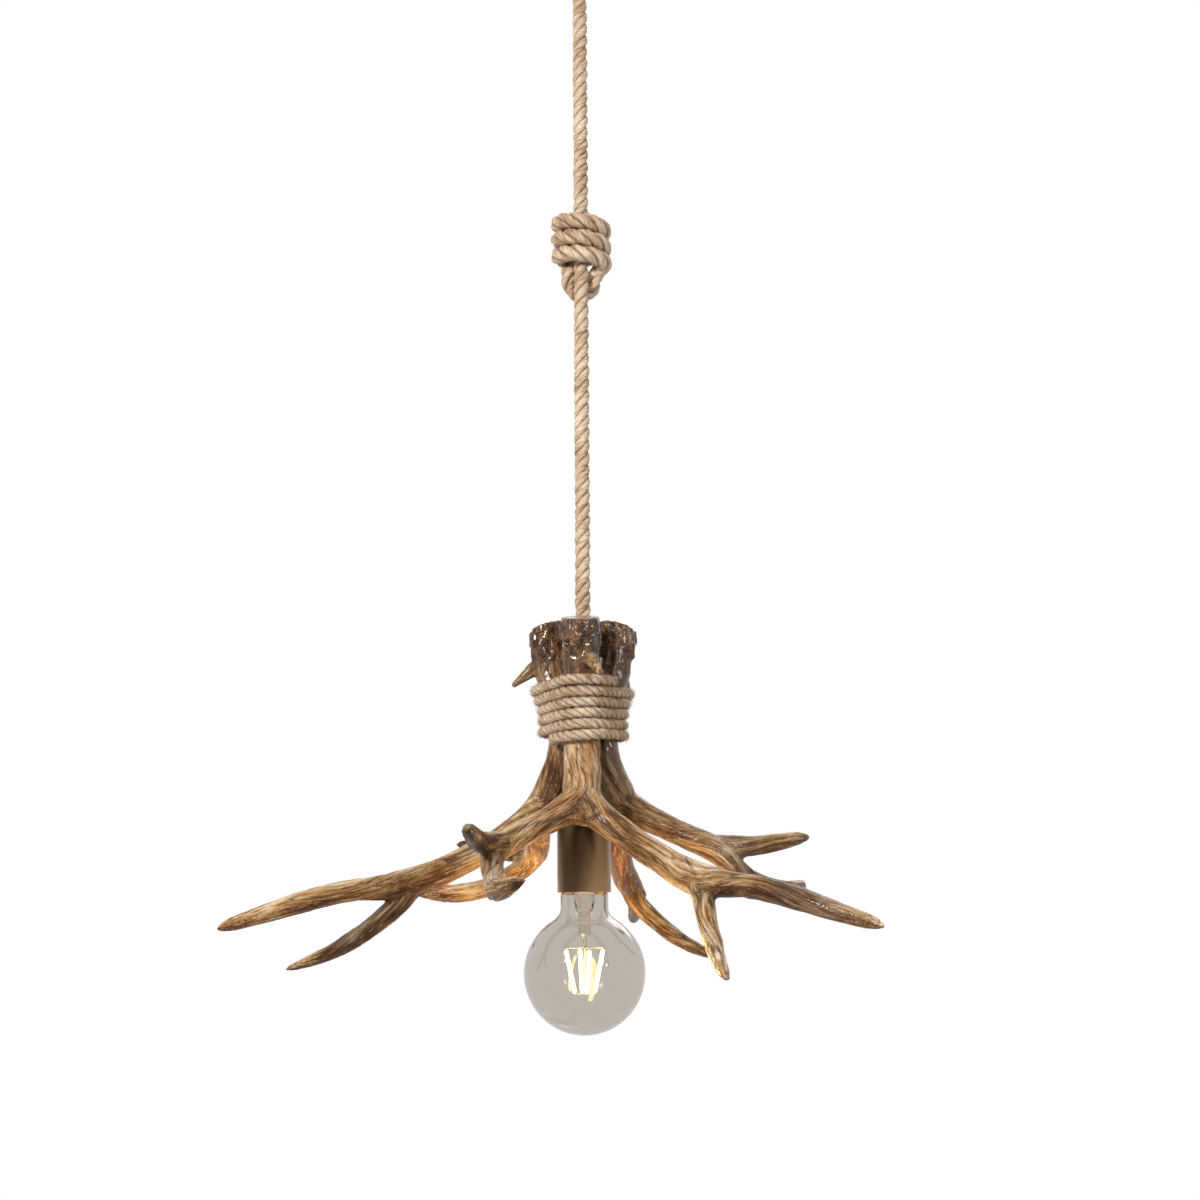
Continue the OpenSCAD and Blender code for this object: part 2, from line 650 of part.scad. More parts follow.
// The least distance of a flat face, square to direction a, that clears the three trunks at a height.
function support(a, h) = max([for (c = trunk_place()) trunk_at(trunk_out, h) * cos(a - c)
    + sqrt(pow(trunk_at(trunk_deep, h) * trunk_lean(h) * cos(a - c), 2)
        + pow(trunk_at(trunk_wide, h) * sin(a - c), 2))]);
function wrap_r(a, h) = min([for (d = [-60:4:60])
    (support(a + d, h) + trunk_lean(h) * binding_d / 2 + binding_gap) / cos(d)]);
binding_first = trunk_place()[0] / 2 + trunk_place()[2] / 2 - 180;
binding_last = trunk_place()[0] / 2 + trunk_place()[1] / 2 + 360 * binding_turns;
function binding_z(a) = binding_h + binding_pitch * (a - binding_first) / 360;
function around(a, r, h) = [r * cos(a), r * sin(a), h - drop];
// The binding's ends run straight in between two antlers, then bend into the first or last turn.
tail_bend = 14;
binding_step = 10;
tail_low_in = 18;
tail_high_in = 13;
tail_pull = 9;
function tail(a, way, inner, k) = let (h = binding_z(a), out = inner + binding_d,
    p = around(a, out, h), q = around(a + way * tail_bend, wrap_r(a + way * tail_bend, h), h),
    u = around(a, out + tail_pull, h) - p, v = tail_pull * way * around(a + way * tail_bend + 90, 1, drop))
    k < 2 ? around(a, inner + binding_d * k / 2, h) : hermite(p, u, q, v, (k - 2) / 3);
binding_line = concat(
    [for (k = [0:4]) tail(binding_first, 1, tail_low_in, k)],
    [for (a = [binding_first + tail_bend:binding_step:binding_last - tail_bend])
        around(a, wrap_r(a, binding_z(a)), binding_z(a))],
    [for (k = [5:-1:0]) tail(binding_last, -1, tail_high_in, k)]);
binding_stations = [for (p = binding_line) concat(p, [binding_d / 2, binding_d / 2])];
echo(binding_rings = len(binding_stations), binding_gap_mm = self_gap(binding_stations, 10));

module rope_binding() {
    color([0.78, 0.64, 0.43]) sweep(binding_stations, [0, 0, 1], wound_sides);
}

// Stem and lamp holder

module lower_ferrule() {
    low = rope_end - fit - lower_end;
    color([0.42, 0.36, 0.27]) difference() {
        translate([0, 0, low]) cylinder(r = ferrule_r, h = lower_end + rope_seat);
        translate([0, 0, rope_end - fit]) cylinder(d = rope_d + 2 * fit, h = rope_seat + 1 + fit);
        translate([0, 0, low - 1]) cylinder(d = stem_d + 2 * fit, h = lower_end + 2);
    }
}

module stem_tube() {
    top = rope_end - fit;
    color([0.6, 0.55, 0.45]) difference() {
        translate([0, 0, stem_low - drop]) cylinder(d = stem_d, h = top - stem_low + drop);
        translate([0, 0, stem_low - drop - 1]) cylinder(d = stem_bore_d, h = top - stem_low + drop + 2);
    }
}

module lead() {
    color([0.12, 0.12, 0.12]) translate([0, 0, stem_low - drop + fit])
        cylinder(d = lead_d, h = rope_end - stem_low + drop - 2 * fit);
}

module stem_nuts() {
    hub_nut = hub_high + fit;
    color([0.78, 0.68, 0.4]) translate([0, 0, -drop]) {
        hex_nut(hub_nut, nut_w, nut_t, stem_d + 2 * fit);
        hex_nut(cover_h + fit, nut_w, nut_t, stem_d + 2 * fit);
        hex_nut(cover_h - cover_wall - fit - nut_t, nut_w, nut_t, stem_d + 2 * fit);
    }
}

module lamp_cover() {
    r = cover_d / 2;
    color([0.55, 0.43, 0.3]) translate([0, 0, -drop]) difference() {
        cover_form(r, cover_h, cover_corner, 0);
        cover_form(r - cover_wall, cover_h - cover_wall, cover_corner - cover_wall, 1);
        translate([0, 0, cover_h - 2 * cover_wall]) cylinder(d = stem_d + 2 * fit, h = 4 * cover_wall);
    }
}

module cover_form(r, high, corner, over) {
    arc = [for (a = [0:10:90]) [r - corner + corner * cos(a), high - corner + corner * sin(a)]];
    rotate_extrude($fn = 96) polygon(concat([[0, -over], [r, -over]], arc, [[0, high]]));
}

module holder_body() {
    neck_high = cover_h - cover_wall - 2 * fit - nut_t;
    color([0.93, 0.92, 0.88]) translate([0, 0, -drop]) difference() {
        union() {
            translate([0, 0, holder_low]) cylinder(d = holder_d, h = holder_high - holder_low);
            translate([0, 0, holder_high - eps]) cylinder(d = neck_wide, h = neck_high - holder_high + eps);
        }
        translate([0, 0, holder_low - 1]) cylinder(d = shell_out + 2 * fit, h = shell_high - holder_low + 1);
        translate([0, 0, shell_high - eps])
            cylinder(d = contact_room, h = contact_ceiling - shell_high + eps);
        translate([0, 0, contact_ceiling - 1]) cylinder(d = bush_d + 2 * fit, h = bush_h + 1 + fit);
        translate([0, 0, stem_low - fit]) cylinder(d = stem_d + 2 * fit, h = cover_h);
    }
}

module screw_shell() {
    color([0.82, 0.66, 0.3]) translate([0, 0, shell_high - fit - shell_l - drop]) difference() {
        cylinder(d = shell_out, h = shell_l);
        translate([0, 0, -1]) cylinder(d = shell_d, h = shell_l + 2);
    }
}

module contact_bush() {
    color([0.82, 0.66, 0.3]) translate([0, 0, contact_ceiling - drop]) difference() {
        cylinder(d = bush_d, h = bush_h);
        translate([0, 0, -1]) cylinder(d = plunger_d + 2 * fit, h = bush_h + 2);
    }
}

module centre_contact() {
    color([0.82, 0.66, 0.3]) translate([0, 0, tip_high + fit - drop]) {
        cylinder(d = contact_d, h = contact_t);
        translate([0, 0, contact_t - eps])
            cylinder(d = plunger_d, h = contact_ceiling + bush_h - tip_high - 2 * contact_t);
    }
}

// Bulb

module bulb_globe() {
    color([0.8, 0.85, 0.87, 0.4]) translate([0, 0, -drop]) difference() {
        rotate_extrude($fn = 96) polygon(glass_line(0));
        rotate_extrude($fn = 96) polygon(glass_line(glass_wall));
    }
}

// The outline of the glass, in by the given wall: globe, neck, shoulder and the tube inside the cap.
function glass_line(wall) = let (
    R = globe_d / 2 - wall,
    n = neck_d / 2 - wall,
    a_end = 90 - asin((neck_d / 2 + neck_flare) / (globe_d / 2)),
    join = [R * cos(a_end), R * sin(a_end) - globe_drop],
    slope = [-sin(a_end), cos(a_end)] * neck_bend,
    tube = cap_in - wall) concat(
    [[0, -globe_drop - R]],
    [for (a = [-85:5:floor(a_end / 5) * 5]) [R * cos(a), R * sin(a) - globe_drop]],
    [for (k = [0:6]) hermite(join, slope, [n, -neck_drop], [0, neck_bend], k / 6)],
    [for (a = [0:15:90]) [n - shoulder * (1 - cos(a)), -shoulder_low + (shoulder - wall) * sin(a)]],
    [[tube, shoulder - wall - shoulder_low], [tube, glass_high + (wall > 0 ? 1 : 0)],
     [0, glass_high + (wall > 0 ? 1 : 0)]]);

module bulb_cap() {
    r = cap_d / 2;
    top_r = insulator_d / 2;
    w = cap_wall;
    cone_low = cap_high - cap_cone;
    color([0.8, 0.79, 0.76]) translate([0, 0, -drop]) rotate_extrude() polygon([[r - w, cap_low],
        [r, cap_low], [r, cone_low], [top_r, cap_high], [top_r - w, cap_high], [r - w, cone_low - w / 2]]);
}

module bulb_insulator() {
    low_d = insulator_d - 2 * cap_wall - 2 * fit;
    color([0.08, 0.08, 0.08]) translate([0, 0, -drop]) difference() {
        union() {
            translate([0, 0, cap_high - pin_in]) cylinder(d = low_d, h = pin_in + eps);
            translate([0, 0, cap_high]) cylinder(d1 = low_d, d2 = tip_d + 2, h = tip_high - cap_high - tip_t);
        }
        translate([0, 0, cap_high - 2 * pin_in]) cylinder(d = tip_pin_d + 2 * fit, h = tip_high);
    }
}

module bulb_tip() {
    color([0.8, 0.79, 0.76]) translate([0, 0, -drop]) {
        translate([0, 0, tip_high - tip_t + fit]) cylinder(d = tip_d, h = tip_t - fit);
        translate([0, 0, cap_high - pin_in])
            cylinder(d = tip_pin_d, h = tip_high - cap_high + pin_in - tip_t / 2);
    }
}

module bulb_stem() {
    flare_h = stem_flare_drop + glass_high - 2;
    color([0.85, 0.88, 0.9, 0.5]) translate([0, 0, -drop]) difference() {
        union() {
            translate([0, 0, -stem_flare_drop])
                cylinder(r1 = stem_flare_r, r2 = cap_in - glass_wall - fit, h = flare_h);
            translate([0, 0, -stem_glass_drop])
                cylinder(d = stem_glass_d, h = stem_glass_drop - stem_flare_drop + eps);
            translate([0, 0, -stem_pinch_drop])
                cylinder(d = stem_pinch_d, h = stem_pinch_drop - stem_glass_drop + eps);
        }
        translate([0, 0, -stem_pinch_drop - 1]) cylinder(d = core_wire_d + 2 * fit, h = wire_in + 1 + fit);
    }
}

first_stick = 15;
function stick_turn(i) = 360 * i / filaments_n + first_stick;
function stick_point(i, r, depth) = [r * cos(stick_turn(i)), r * sin(stick_turn(i)), -depth - drop];

module rod(p, q, d) {
    v = q - p;
    translate(p) rotate([0, acos(v[2] / norm(v)), atan2(v[1], v[0])]) cylinder(d = d, h = norm(v), $fn = 24);
}

module filament_wires() {
    low = stick_high + stick_drop;
    color([0.7, 0.69, 0.66]) {
        rod([0, 0, -stem_pinch_drop + wire_in - drop], [0, 0, -low - drop], core_wire_d);
        for (i = [0:filaments_n - 1]) {
            rod([0, 0, -wire_hub - drop], stick_point(i, stick_r_high, stick_high - 1), wire_d);
            rod([0, 0, -low + wire_d / 2 - drop], stick_point(i, stick_r_low, low + wire_d / 2), wire_d);
        }
    }
}

module filament_sticks() {
    color([1, 0.85, 0.5]) for (i = [0:filaments_n - 1])
        rod(stick_point(i, stick_r_high, stick_high + wire_d / 2),
            stick_point(i, stick_r_low, stick_high + stick_drop - wire_d), filament_d);
}

ceiling_bracket();
bracket_nuts();
canopy_cup();
screw_collar();
hang_loop();
terminal_block();
terminal_screws();
earth_screw();
link();
rope_eye();
upper_ferrule();
rope();
knot();
lower_ferrule();
stem_tube();
lead();
hub_core();
antler_front();
antler_right();
antler_left();
antler_screws();
rope_binding();
lamp_cover();
stem_nuts();
holder_body();
screw_shell();
contact_bush();
centre_contact();
bulb_globe();
bulb_cap();
bulb_insulator();
bulb_tip();
bulb_stem();
filament_wires();
filament_sticks();
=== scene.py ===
"""The looks of an antler pendant light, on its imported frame."""
import math

import bpy
import numpy as np
from mathutils import Matrix, Vector


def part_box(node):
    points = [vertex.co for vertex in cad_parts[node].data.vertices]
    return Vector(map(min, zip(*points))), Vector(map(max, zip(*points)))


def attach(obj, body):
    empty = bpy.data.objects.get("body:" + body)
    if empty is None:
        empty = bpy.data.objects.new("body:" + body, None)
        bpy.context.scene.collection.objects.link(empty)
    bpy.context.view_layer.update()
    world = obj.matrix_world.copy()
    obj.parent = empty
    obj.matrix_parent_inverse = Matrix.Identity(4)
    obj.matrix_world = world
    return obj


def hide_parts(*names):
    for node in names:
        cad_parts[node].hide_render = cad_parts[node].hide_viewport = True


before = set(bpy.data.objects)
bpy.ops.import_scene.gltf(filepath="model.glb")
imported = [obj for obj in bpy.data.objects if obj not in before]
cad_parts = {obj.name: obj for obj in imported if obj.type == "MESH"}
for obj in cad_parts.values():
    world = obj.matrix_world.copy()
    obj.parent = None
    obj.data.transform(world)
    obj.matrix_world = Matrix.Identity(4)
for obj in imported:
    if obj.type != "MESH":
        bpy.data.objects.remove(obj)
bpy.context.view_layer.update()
MM = 0.001

# The photograph's camera: level with the rim of the lamp cover, looking up a little.
CAMERA_AT = (0.014, -1.334, -0.9094)
CAMERA_PITCH = 10.35
CAMERA_ROLL = -0.4
CAMERA_LENS = 50.0
CAMERA_SENSOR = 36.0

# Sizes that the pieces share with the source, in millimetres and degrees. DROP, down from the
# ceiling, is the height of the lamp cover's rim, and KNOT_DROP that of the knot. Heights are above
# the rim, and the bulb's drops and depths below it. STICK_DROP is a filament stick's own height.
DROP = 900.0
ROPE_D = 12.0
KNOT_ROPE_D = 12.5
KNOT_END_D = 8.0
KNOT_R = 19.0
KNOT_DEPTH_R = 15.5
KNOT_PITCH = 14.5
KNOT_DROP = 345.0
KNOT_GAP = 0.5
KNOT_BEND = 7.0
KNOT_TURNS = 3
BIGHT_L = 28.0
BIGHT_X = 10.0
FRONT_TURN, RIGHT_TURN, LEFT_TURN = -2.5, 3.0, 0.0
PLACES = {"front": -90 + FRONT_TURN, "right": 30 + RIGHT_TURN, "left": 150 + LEFT_TURN}
BINDING_D = 7.8
BINDING_PITCH = 8.5
BINDING_H = 120.0
BINDING_TURNS = 5
BINDING_GAP = 0.9
BINDING_STEP = 7.5
LEAN_STEP = 4.0
TAIL_BEND = 14.0
TAIL_PULL = 9.0
TAIL_LOW_IN = 18.0
TAIL_HIGH_IN = 13.0
COVER_D = 42.3
COVER_H = 62.0
COVER_WALL = 0.8
COVER_CORNER = 2.5
STEM_D = 10.0
GLOBE_D = 95.0
GLOBE_DROP = 62.0
NECK_D = 37.6
NECK_DROP = 13.0
GLASS_WALL = 1.0
CAP_D = 26.4
CAP_WALL = 0.35
FIT = 0.15
GLASS_HIGH = 11.0
SHOULDER_LOW = 3.3
STEM_R = 4.5
STEM_WALL = 0.9
STEM_FLARE = 14.0
STEM_TUBE = 33.0
STEM_PINCH = 42.0
STICKS = 4
STICK_FIRST = 15.0
STICK_HIGH = 44.0
STICK_DROP = 34.0
STICK_R_HIGH = 15.0
STICK_R_LOW = 8.0

# The antler's trunk, branches and spur: x, y, height above the rim, and the trunk's half widths.
TRUNK = [(0, -34, 240, 16.5, 16.5), (0, -32, 215, 16, 16), (0, -30.5, 190, 15.4, 15.6),
         (0, -27.5, 172, 14.4, 15.2), (0, -22.8, 160, 12.8, 15), (0, -18.6, 147, 12, 14.8),
         (0, -17.4, 132, 11.8, 14.8), (0, -18.4, 116, 12, 15), (0, -20.6, 104, 12.6, 15.4),
         (0, -26.5, 90, 13.4, 15.8)]
RIGHT_BEAM = [(1, -37, 71), (14, -44, 58), (34, -54, 43), (50, -67, 31), (67, -81, 20),
              (82, -95, 11), (96, -109, 6), (112, -122, 4), (132, -138, 1), (158, -157, -7),
              (184, -173, -16), (202, -183, -22), (210, -187, -25)]
DOWN_TINE = [(86, -97, 12), (92, -111, -6), (94, -131, -22), (97, -152, -35), (100, -175, -46),
             (103, -198, -54), (105, -211, -58)]
LEFT_BEAM = [(-1, -37, 73), (-12, -46, 62), (-27, -59, 52), (-45, -71, 42), (-60, -84, 33),
             (-63, -97, 22), (-59, -115, 11), (-57, -136, 4), (-53, -158, 1), (-45, -178, 2),
             (-36, -191, 5), (-31, -196, 6.5)]
UP_TINE = [(-50, -76, 38), (-63, -96, 35), (-69, -118, 36), (-71, -140, 39), (-72, -159, 42),
           (-71, -169, 43)]
SPUR = [(3, -36, 186), (10, -46, 176), (17, -55, 167)]

# The route of the hanging rope, from the upper ferrule to the lower one, in metres.
ROPE_ROUTE = [(0, 0, -0.104)]
ROPE_ROUTE += [(0, 0, -(130 + 30 * k) / 1000) for k in range(19)]
ROPE_ROUTE += [(0, 0, -0.703)]

# How full the laid ropes are, because strands fill less than the source's round bars, and how the
# binding sways.
ROPE_FULL_D = 13.0
KNOT_FULL = 1.14
BINDING_FULL_D = 8.5
BINDING_SWAY = 2.4
BINDING_SWAY_STEP = 13.0


# Geometry.

def unit(v):
    """A vector, or each row of an array of vectors, at length 1."""
    return v / np.linalg.norm(v, axis=-1, keepdims=True)


def cosd(a):
    return math.cos(math.radians(a))


def sind(a):
    return math.sin(math.radians(a))


def ramp(x, low, high):
    """From 0 at low to 1 at high, and level past both."""
    return np.clip((x - low) / (high - low), 0, 1)


def hermite(p, u, q, v, t):
    """The point at t from 0 to 1 on a curve that leaves p along u and reaches q along v."""
    p, u, q, v = (np.array(x, float) for x in (p, u, q, v))
    return ((2 * t ** 3 - 3 * t * t + 1) * p + (t ** 3 - 2 * t * t + t) * u
            + (3 * t * t - 2 * t ** 3) * q + (t ** 3 - t * t) * v)


def smooth_line(points, step):
    """Points about step apart on a Catmull-Rom curve through the given points."""
    P = np.array(points, float)
    Q = np.vstack([P[:1], P, P[-1:]])
    out = []
    for i in range(1, len(Q) - 2):
        p0, p1, p2, p3 = Q[i - 1:i + 3]
        n = max(1, int(math.ceil(np.linalg.norm(p2[:3] - p1[:3]) / step)))
        for k in range(n):
            t = k / n
            out.append(0.5 * (2 * p1 + (p2 - p0) * t + (2 * p0 - 5 * p1 + 4 * p2 - p3) * t * t
                              + (3 * p1 - p0 - 3 * p2 + p3) * t ** 3))
    out.append(P[-1])
    return np.array(out)


def distances(P):
    """How far along a line each of its points lies."""
    return np.concatenate([[0], np.cumsum(np.linalg.norm(np.diff(P, axis=0), axis=1))])


def frames_along(P, side):
    """Tangents and two side directions at each point, carried along the line without twist."""
    T = unit(np.gradient(P, axis=0))
    B = np.zeros_like(P)
    b = np.array(side, float)
    for i, t in enumerate(T):
        b = unit(b - (b @ t) * t)
        B[i] = b
    return T, B, np.cross(T, B)


LATTICE_N = 64
LATTICE = np.random.default_rng(11).random((LATTICE_N,) * 3)


def value_noise(X):
    """Smooth noise from 0 to 1 at points X."""
    i = np.floor(X).astype(int)
    f = X - i
    f = f * f * (3 - 2 * f)
    out = 0
    for corner in np.ndindex(2, 2, 2):
        w = np.where(corner, f, 1 - f).prod(1)
        x, y, z = ((i + corner) % LATTICE_N).T
        out = out + w * LATTICE[x, y, z]
    return out


# Meshes.

def add_object(name, data):
    obj = bpy.data.objects.new(name, data)
    bpy.context.scene.collection.objects.link(obj)
    return obj


def new_mesh(name, verts, faces):
    """A smooth-shaded mesh object from points in metres."""
    mesh = bpy.data.meshes.new(name)
    mesh.from_pydata([tuple(v) for v in verts], [], [tuple(int(i) for i in f) for f in faces])
    mesh.polygons.foreach_set("use_smooth", [True] * len(mesh.polygons))
    mesh.update()
    return add_object(name, mesh)


def vertex_vectors(obj, key):
    """The mesh's points, with key "co", or their normals, with key "normal"."""
    out = np.empty(len(obj.data.vertices) * 3, np.float32)
    obj.data.vertices.foreach_get(key, out)
    return out.reshape(-1, 3).astype(float)


def keep_at_points(obj, **attributes):
    """Keeps a number or a vector for each point, under the names by which a material reads them."""
    for name, values in attributes.items():
        values = np.asarray(values, np.float32)
        kind, key = ("FLOAT", "value") if values.ndim == 1 else ("FLOAT_VECTOR", "vector")
        layer = obj.data.attributes.new(name, kind, "POINT")
        layer.data.foreach_set(key, values.ravel())


def tube_faces(rings, sides, offset=0):
    """The faces of a tube whose rings of points follow each other, with its two ends closed."""
    i = np.arange(rings - 1)[:, None] * sides
    j = np.arange(sides)[None, :]
    k = (j + 1) % sides
    quads = np.stack([i + j, i + k, i + sides + k, i + sides + j], axis=-1)
    quads = quads.reshape(-1, 4) + offset
    caps = [list(range(offset + sides - 1, offset - 1, -1)),
            list(range(offset + (rings - 1) * sides, offset + rings * sides))]
    return [list(q) for q in quads] + caps


# The camera comes first.

def add_camera():
    data = bpy.data.cameras.new("camera")
    data.lens = CAMERA_LENS
    data.sensor_width = CAMERA_SENSOR
    cam = add_object("camera", data)
    pitch = Matrix.Rotation(math.radians(90 + CAMERA_PITCH), 4, "X")
    roll = Matrix.Rotation(math.radians(CAMERA_ROLL), 4, "Z")
    cam.matrix_world = Matrix.Translation(CAMERA_AT) @ pitch @ roll
    bpy.context.scene.camera = cam


add_camera()


# Ropes.

STRANDS = 3
STRAND_R = 0.475        # of the rope's radius
STRAND_IN = 1.04        # a strand's middle lies this many strand radii inside the rope's surface
STRAND_DEEP = 0.98      # a strand's half width towards the rope's middle and
STRAND_WIDE = 1.12      # across it, in strand radii
RING_STEP = 0.2         # along the rope, in rope radii
YARN_TWIST = 0.55       # radians for each strand radius along the rope
YARN_LUMPS = 0.22
LUMPS_ROUND = 2.1       # how fine the lumps are round a strand and
LUMPS_ALONG = 0.8       # along it
FIBRE_ALONG = 0.12      # how fast "fibre" runs along a strand
# How a strand sways, for each rope radius along the rope and by what part of its distance out.
SWAYS = ((0.9, 0.035), (2.3, 0.03))
# The yarns on a strand: how many, how high, and by how much they turn from strand to strand.
YARNS = ((5, 0.045, 1.7), (9, 0.03, -0.6))

# Hairs, in millimetres. They grow where a strand faces outwards by more than CROWN_FROM, a cosine.
CROWN_FROM = 0.3
HAIR_STEPS = 3
HAIR_R = 0.1
HAIR_TAPER = 0.7
HAIR_L = (1.5, 5.0)
HAIR_SPREAD = 0.7
HAIR_LIFT = (0.2, 1.0)
HAIR_BEND = 2.2
HAIR_CORNERS = (0, 2.09, 4.19)


def hairs(skin, outward, along, number, rise, rng):
    """The points and faces of fine fibres that stand off a rope's skin, in millimetres."""
    pick = rng.integers(0, len(skin), number)
    root, out, t = skin[pick], outward[pick], along[pick]
    sidewise = np.cross(t, out)
    way = t * rng.choice((-1, 1), number)[:, None]
    way = way + sidewise * rng.normal(0, HAIR_SPREAD, number)[:, None]
    length = rng.uniform(*HAIR_L, number)
    lift = rng.uniform(*HAIR_LIFT, number) * rise
    rings = []
    for k in range(HAIR_STEPS + 1):
        f = k / HAIR_STEPS
        rise_now = lift * math.sin(HAIR_BEND * f)
        centre = root + way * (length * f)[:, None] + out * rise_now[:, None]
        thick = HAIR_R * (1 - HAIR_TAPER * f)
        rings.append(np.stack([centre + thick * (out * math.cos(g) + sidewise * math.sin(g))
                               for g in HAIR_CORNERS], 1))
    sides = len(HAIR_CORNERS)
    faces = []
    for h in range(number):
        faces += tube_faces(HAIR_STEPS + 1, sides, sides * (HAIR_STEPS + 1) * h)
    return np.stack(rings, 1).reshape(-1, 3), faces


def even_line(line, radii):
    """The line and its radii at even steps, and how far along it each step is."""
    P, R = np.array(line, float), np.array(radii, float)
    s = distances(P)
    u = np.linspace(0, s[-1], max(8, int(s[-1] / (R.mean() * RING_STEP))))
    points = np.stack([np.interp(u, s, P[:, k]) for k in range(3)], 1)
    return points, np.interp(u, s, R), u


def twisted_rope(name, line, radii, side, lay, start, seed, sides=14, fuzz=0.0, rise=1.0):
    """A laid rope. Its strands turn once in a length of lay, from the angle start, and it has fuzz
    hairs to the millimetre, which stand off by rise at most. It keeps "fibre", a place along and
    across the fibres, and "crown", how far a strand faces outwards."""
    P, R, u = even_line(line, radii)
    T, B, A = frames_along(P, side)
    n, rng = len(u), np.random.default_rng(seed)
    strand_r = R * STRAND_R
    helix_r = R - strand_r * STRAND_IN
    steps = u / strand_r.mean()
    phi = 2 * math.pi * np.arange(sides) / sides
    yarn = phi[None, :] - YARN_TWIST * steps[:, None]
    skin, fibre, faces = [], [], []
    for q in range(STRANDS):
        a = start + 2 * math.pi * q / STRANDS - 2 * math.pi * u / lay
        sway = sum(far * np.sin(u / R.mean() * fast + rng.uniform(0, 6.3)) for fast, far in SWAYS)
        out = A * np.cos(a)[:, None] + B * np.sin(a)[:, None]
        centre = P + out * (helix_r * (1 + sway))[:, None]
        t = unit(np.gradient(centre, axis=0))
        out = unit(out - (out * t).sum(1)[:, None] * t)
        across = np.cross(t, out)
        lumps = value_noise(np.column_stack([
            LUMPS_ROUND * np.cos(yarn.ravel()) + 9, LUMPS_ROUND * np.sin(yarn.ravel()) + 5 * seed,
            np.repeat(LUMPS_ALONG * steps + 11 * q, sides)])).reshape(n, sides)
        ridge = 1 + sum(high * np.cos(count * yarn + shift * q) for count, high, shift in YARNS)
        ridge = strand_r[:, None] * (ridge + YARN_LUMPS * (lumps - 0.5))
        deep = (STRAND_DEEP * ridge * np.cos(phi))[..., None]
        wide = (STRAND_WIDE * ridge * np.sin(phi))[..., None]
        faces += tube_faces(n, sides, q * n * sides)
        ring = centre[:, None] + out[:, None] * deep + across[:, None] * wide
        skin.append(ring.reshape(-1, 3))
        length = np.repeat(FIBRE_ALONG * steps[:, None], sides, 1) + 7 * q
        fibre.append(np.stack([np.cos(yarn), np.sin(yarn), length], -1).reshape(-1, 3))
    skin, fibre = np.vstack(skin), np.vstack(fibre)
    crown = np.tile(np.cos(phi), STRANDS * n)
    top = np.flatnonzero(crown > CROWN_FROM)
    step = (top // sides) % n
    outward = unit(skin[top] - P[step])
    hair, hair_faces = hairs(skin[top], outward, T[step], int(u[-1] * fuzz), rise, rng)
    faces += [[len(skin) + i for i in face] for face in hair_faces]
    obj = new_mesh(name, np.vstack([skin, hair]) * MM, faces)
    keep_at_points(obj, fibre=np.vstack([fibre, hair]),
                   crown=np.concatenate([crown, np.ones(len(hair))]))
    return obj


def knot_line():
    """Points of the knot's middle line, by the solid's own turns, and the radius at each."""
    half, end = KNOT_ROPE_D / 2, KNOT_END_D / 2
    inner = ROPE_D / 2 + KNOT_GAP
    out = inner + KNOT_END_D
    last = KNOT_TURNS * 360

    def height(a):
        return -KNOT_DROP - KNOT_PITCH * (a - 270) / 360

    def turn(a):
        return (KNOT_R * cosd(a), KNOT_DEPTH_R * sind(a), height(a))

    def swelling(t):
        return end + (half - end) * t

    bight_y = math.sqrt((inner + half) ** 2 - BIGHT_X ** 2) + KNOT_GAP
    bight_z = height(last) - BIGHT_L + BIGHT_X + half
    bight_back = inner + half + KNOT_GAP - bight_y
    left_end = height(last - 220) - half - 1
    # The end comes out of the hanging rope at the back and bends into the first turn.
    line = [((0, inner + end * k, height(90)), end) for k in (0, 1)]
    line += [((KNOT_BEND * (cosd(u) - 1), out + KNOT_BEND * sind(u), height(90)), swelling(u / 180))
             for u in np.arange(0, 91, 22.5)]
    line += [((-KNOT_BEND - (KNOT_R - KNOT_BEND) * sind(u), (out + KNOT_BEND) * cosd(u),
               height(90 + u)), swelling(0.5 + u / 180)) for u in range(18, 90, 18)]
    # The turns, and the bight below them, down on the right and up again on the left.
    line += [(turn(a), half) for a in range(180, last + 1, 15)]
    right = (BIGHT_X, bight_y, bight_z)
    line += [(tuple(hermite(turn(last), (0, 22, -4), right, (0, 0, -22), k / 5)), half)
             for k in (1, 2, 3, 4)]
    line += [((BIGHT_X * cosd(u), bight_y + bight_back * sind(u), bight_z - BIGHT_X * sind(u)),
              half) for u in range(0, 181, 20)]
    line += [((-BIGHT_X, bight_y, bight_z + (left_end - bight_z) * k / 3), half)
             for k in (1, 2, 3)]
    return [p for p, r in line], [r for p, r in line]


def trunk_at(column, h):
    """One column of the trunk's table at a height above the rim."""
    rows = sorted(TRUNK, key=lambda row: row[2])
    return float(np.interp(h, [row[2] for row in rows], [row[column] for row in rows]))


def trunk_lean(h):
    """How much the lean of the trunks at a height widens a level cut through them."""
    slope = (trunk_at(1, h + LEAN_STEP) - trunk_at(1, h - LEAN_STEP)) / (2 * LEAN_STEP)
    return math.hypot(1, slope)


def support(a, h):
    """The least distance of a flat face, square to direction a, that clears the trunks at h."""
    out, deep, wide = -trunk_at(1, h), trunk_at(3, h) * trunk_lean(h), trunk_at(4, h)
    return max(out * cosd(a - c) + math.hypot(deep * cosd(a - c), wide * sind(a - c))
               for c in PLACES.values())


def wrap_r(a, h):
    """How far out the binding's middle line lies in direction a at a height."""
    clear = trunk_lean(h) * BINDING_D / 2 + BINDING_GAP
    return min((support(a + d, h) + clear) / cosd(d) for d in range(-60, 61, 4))


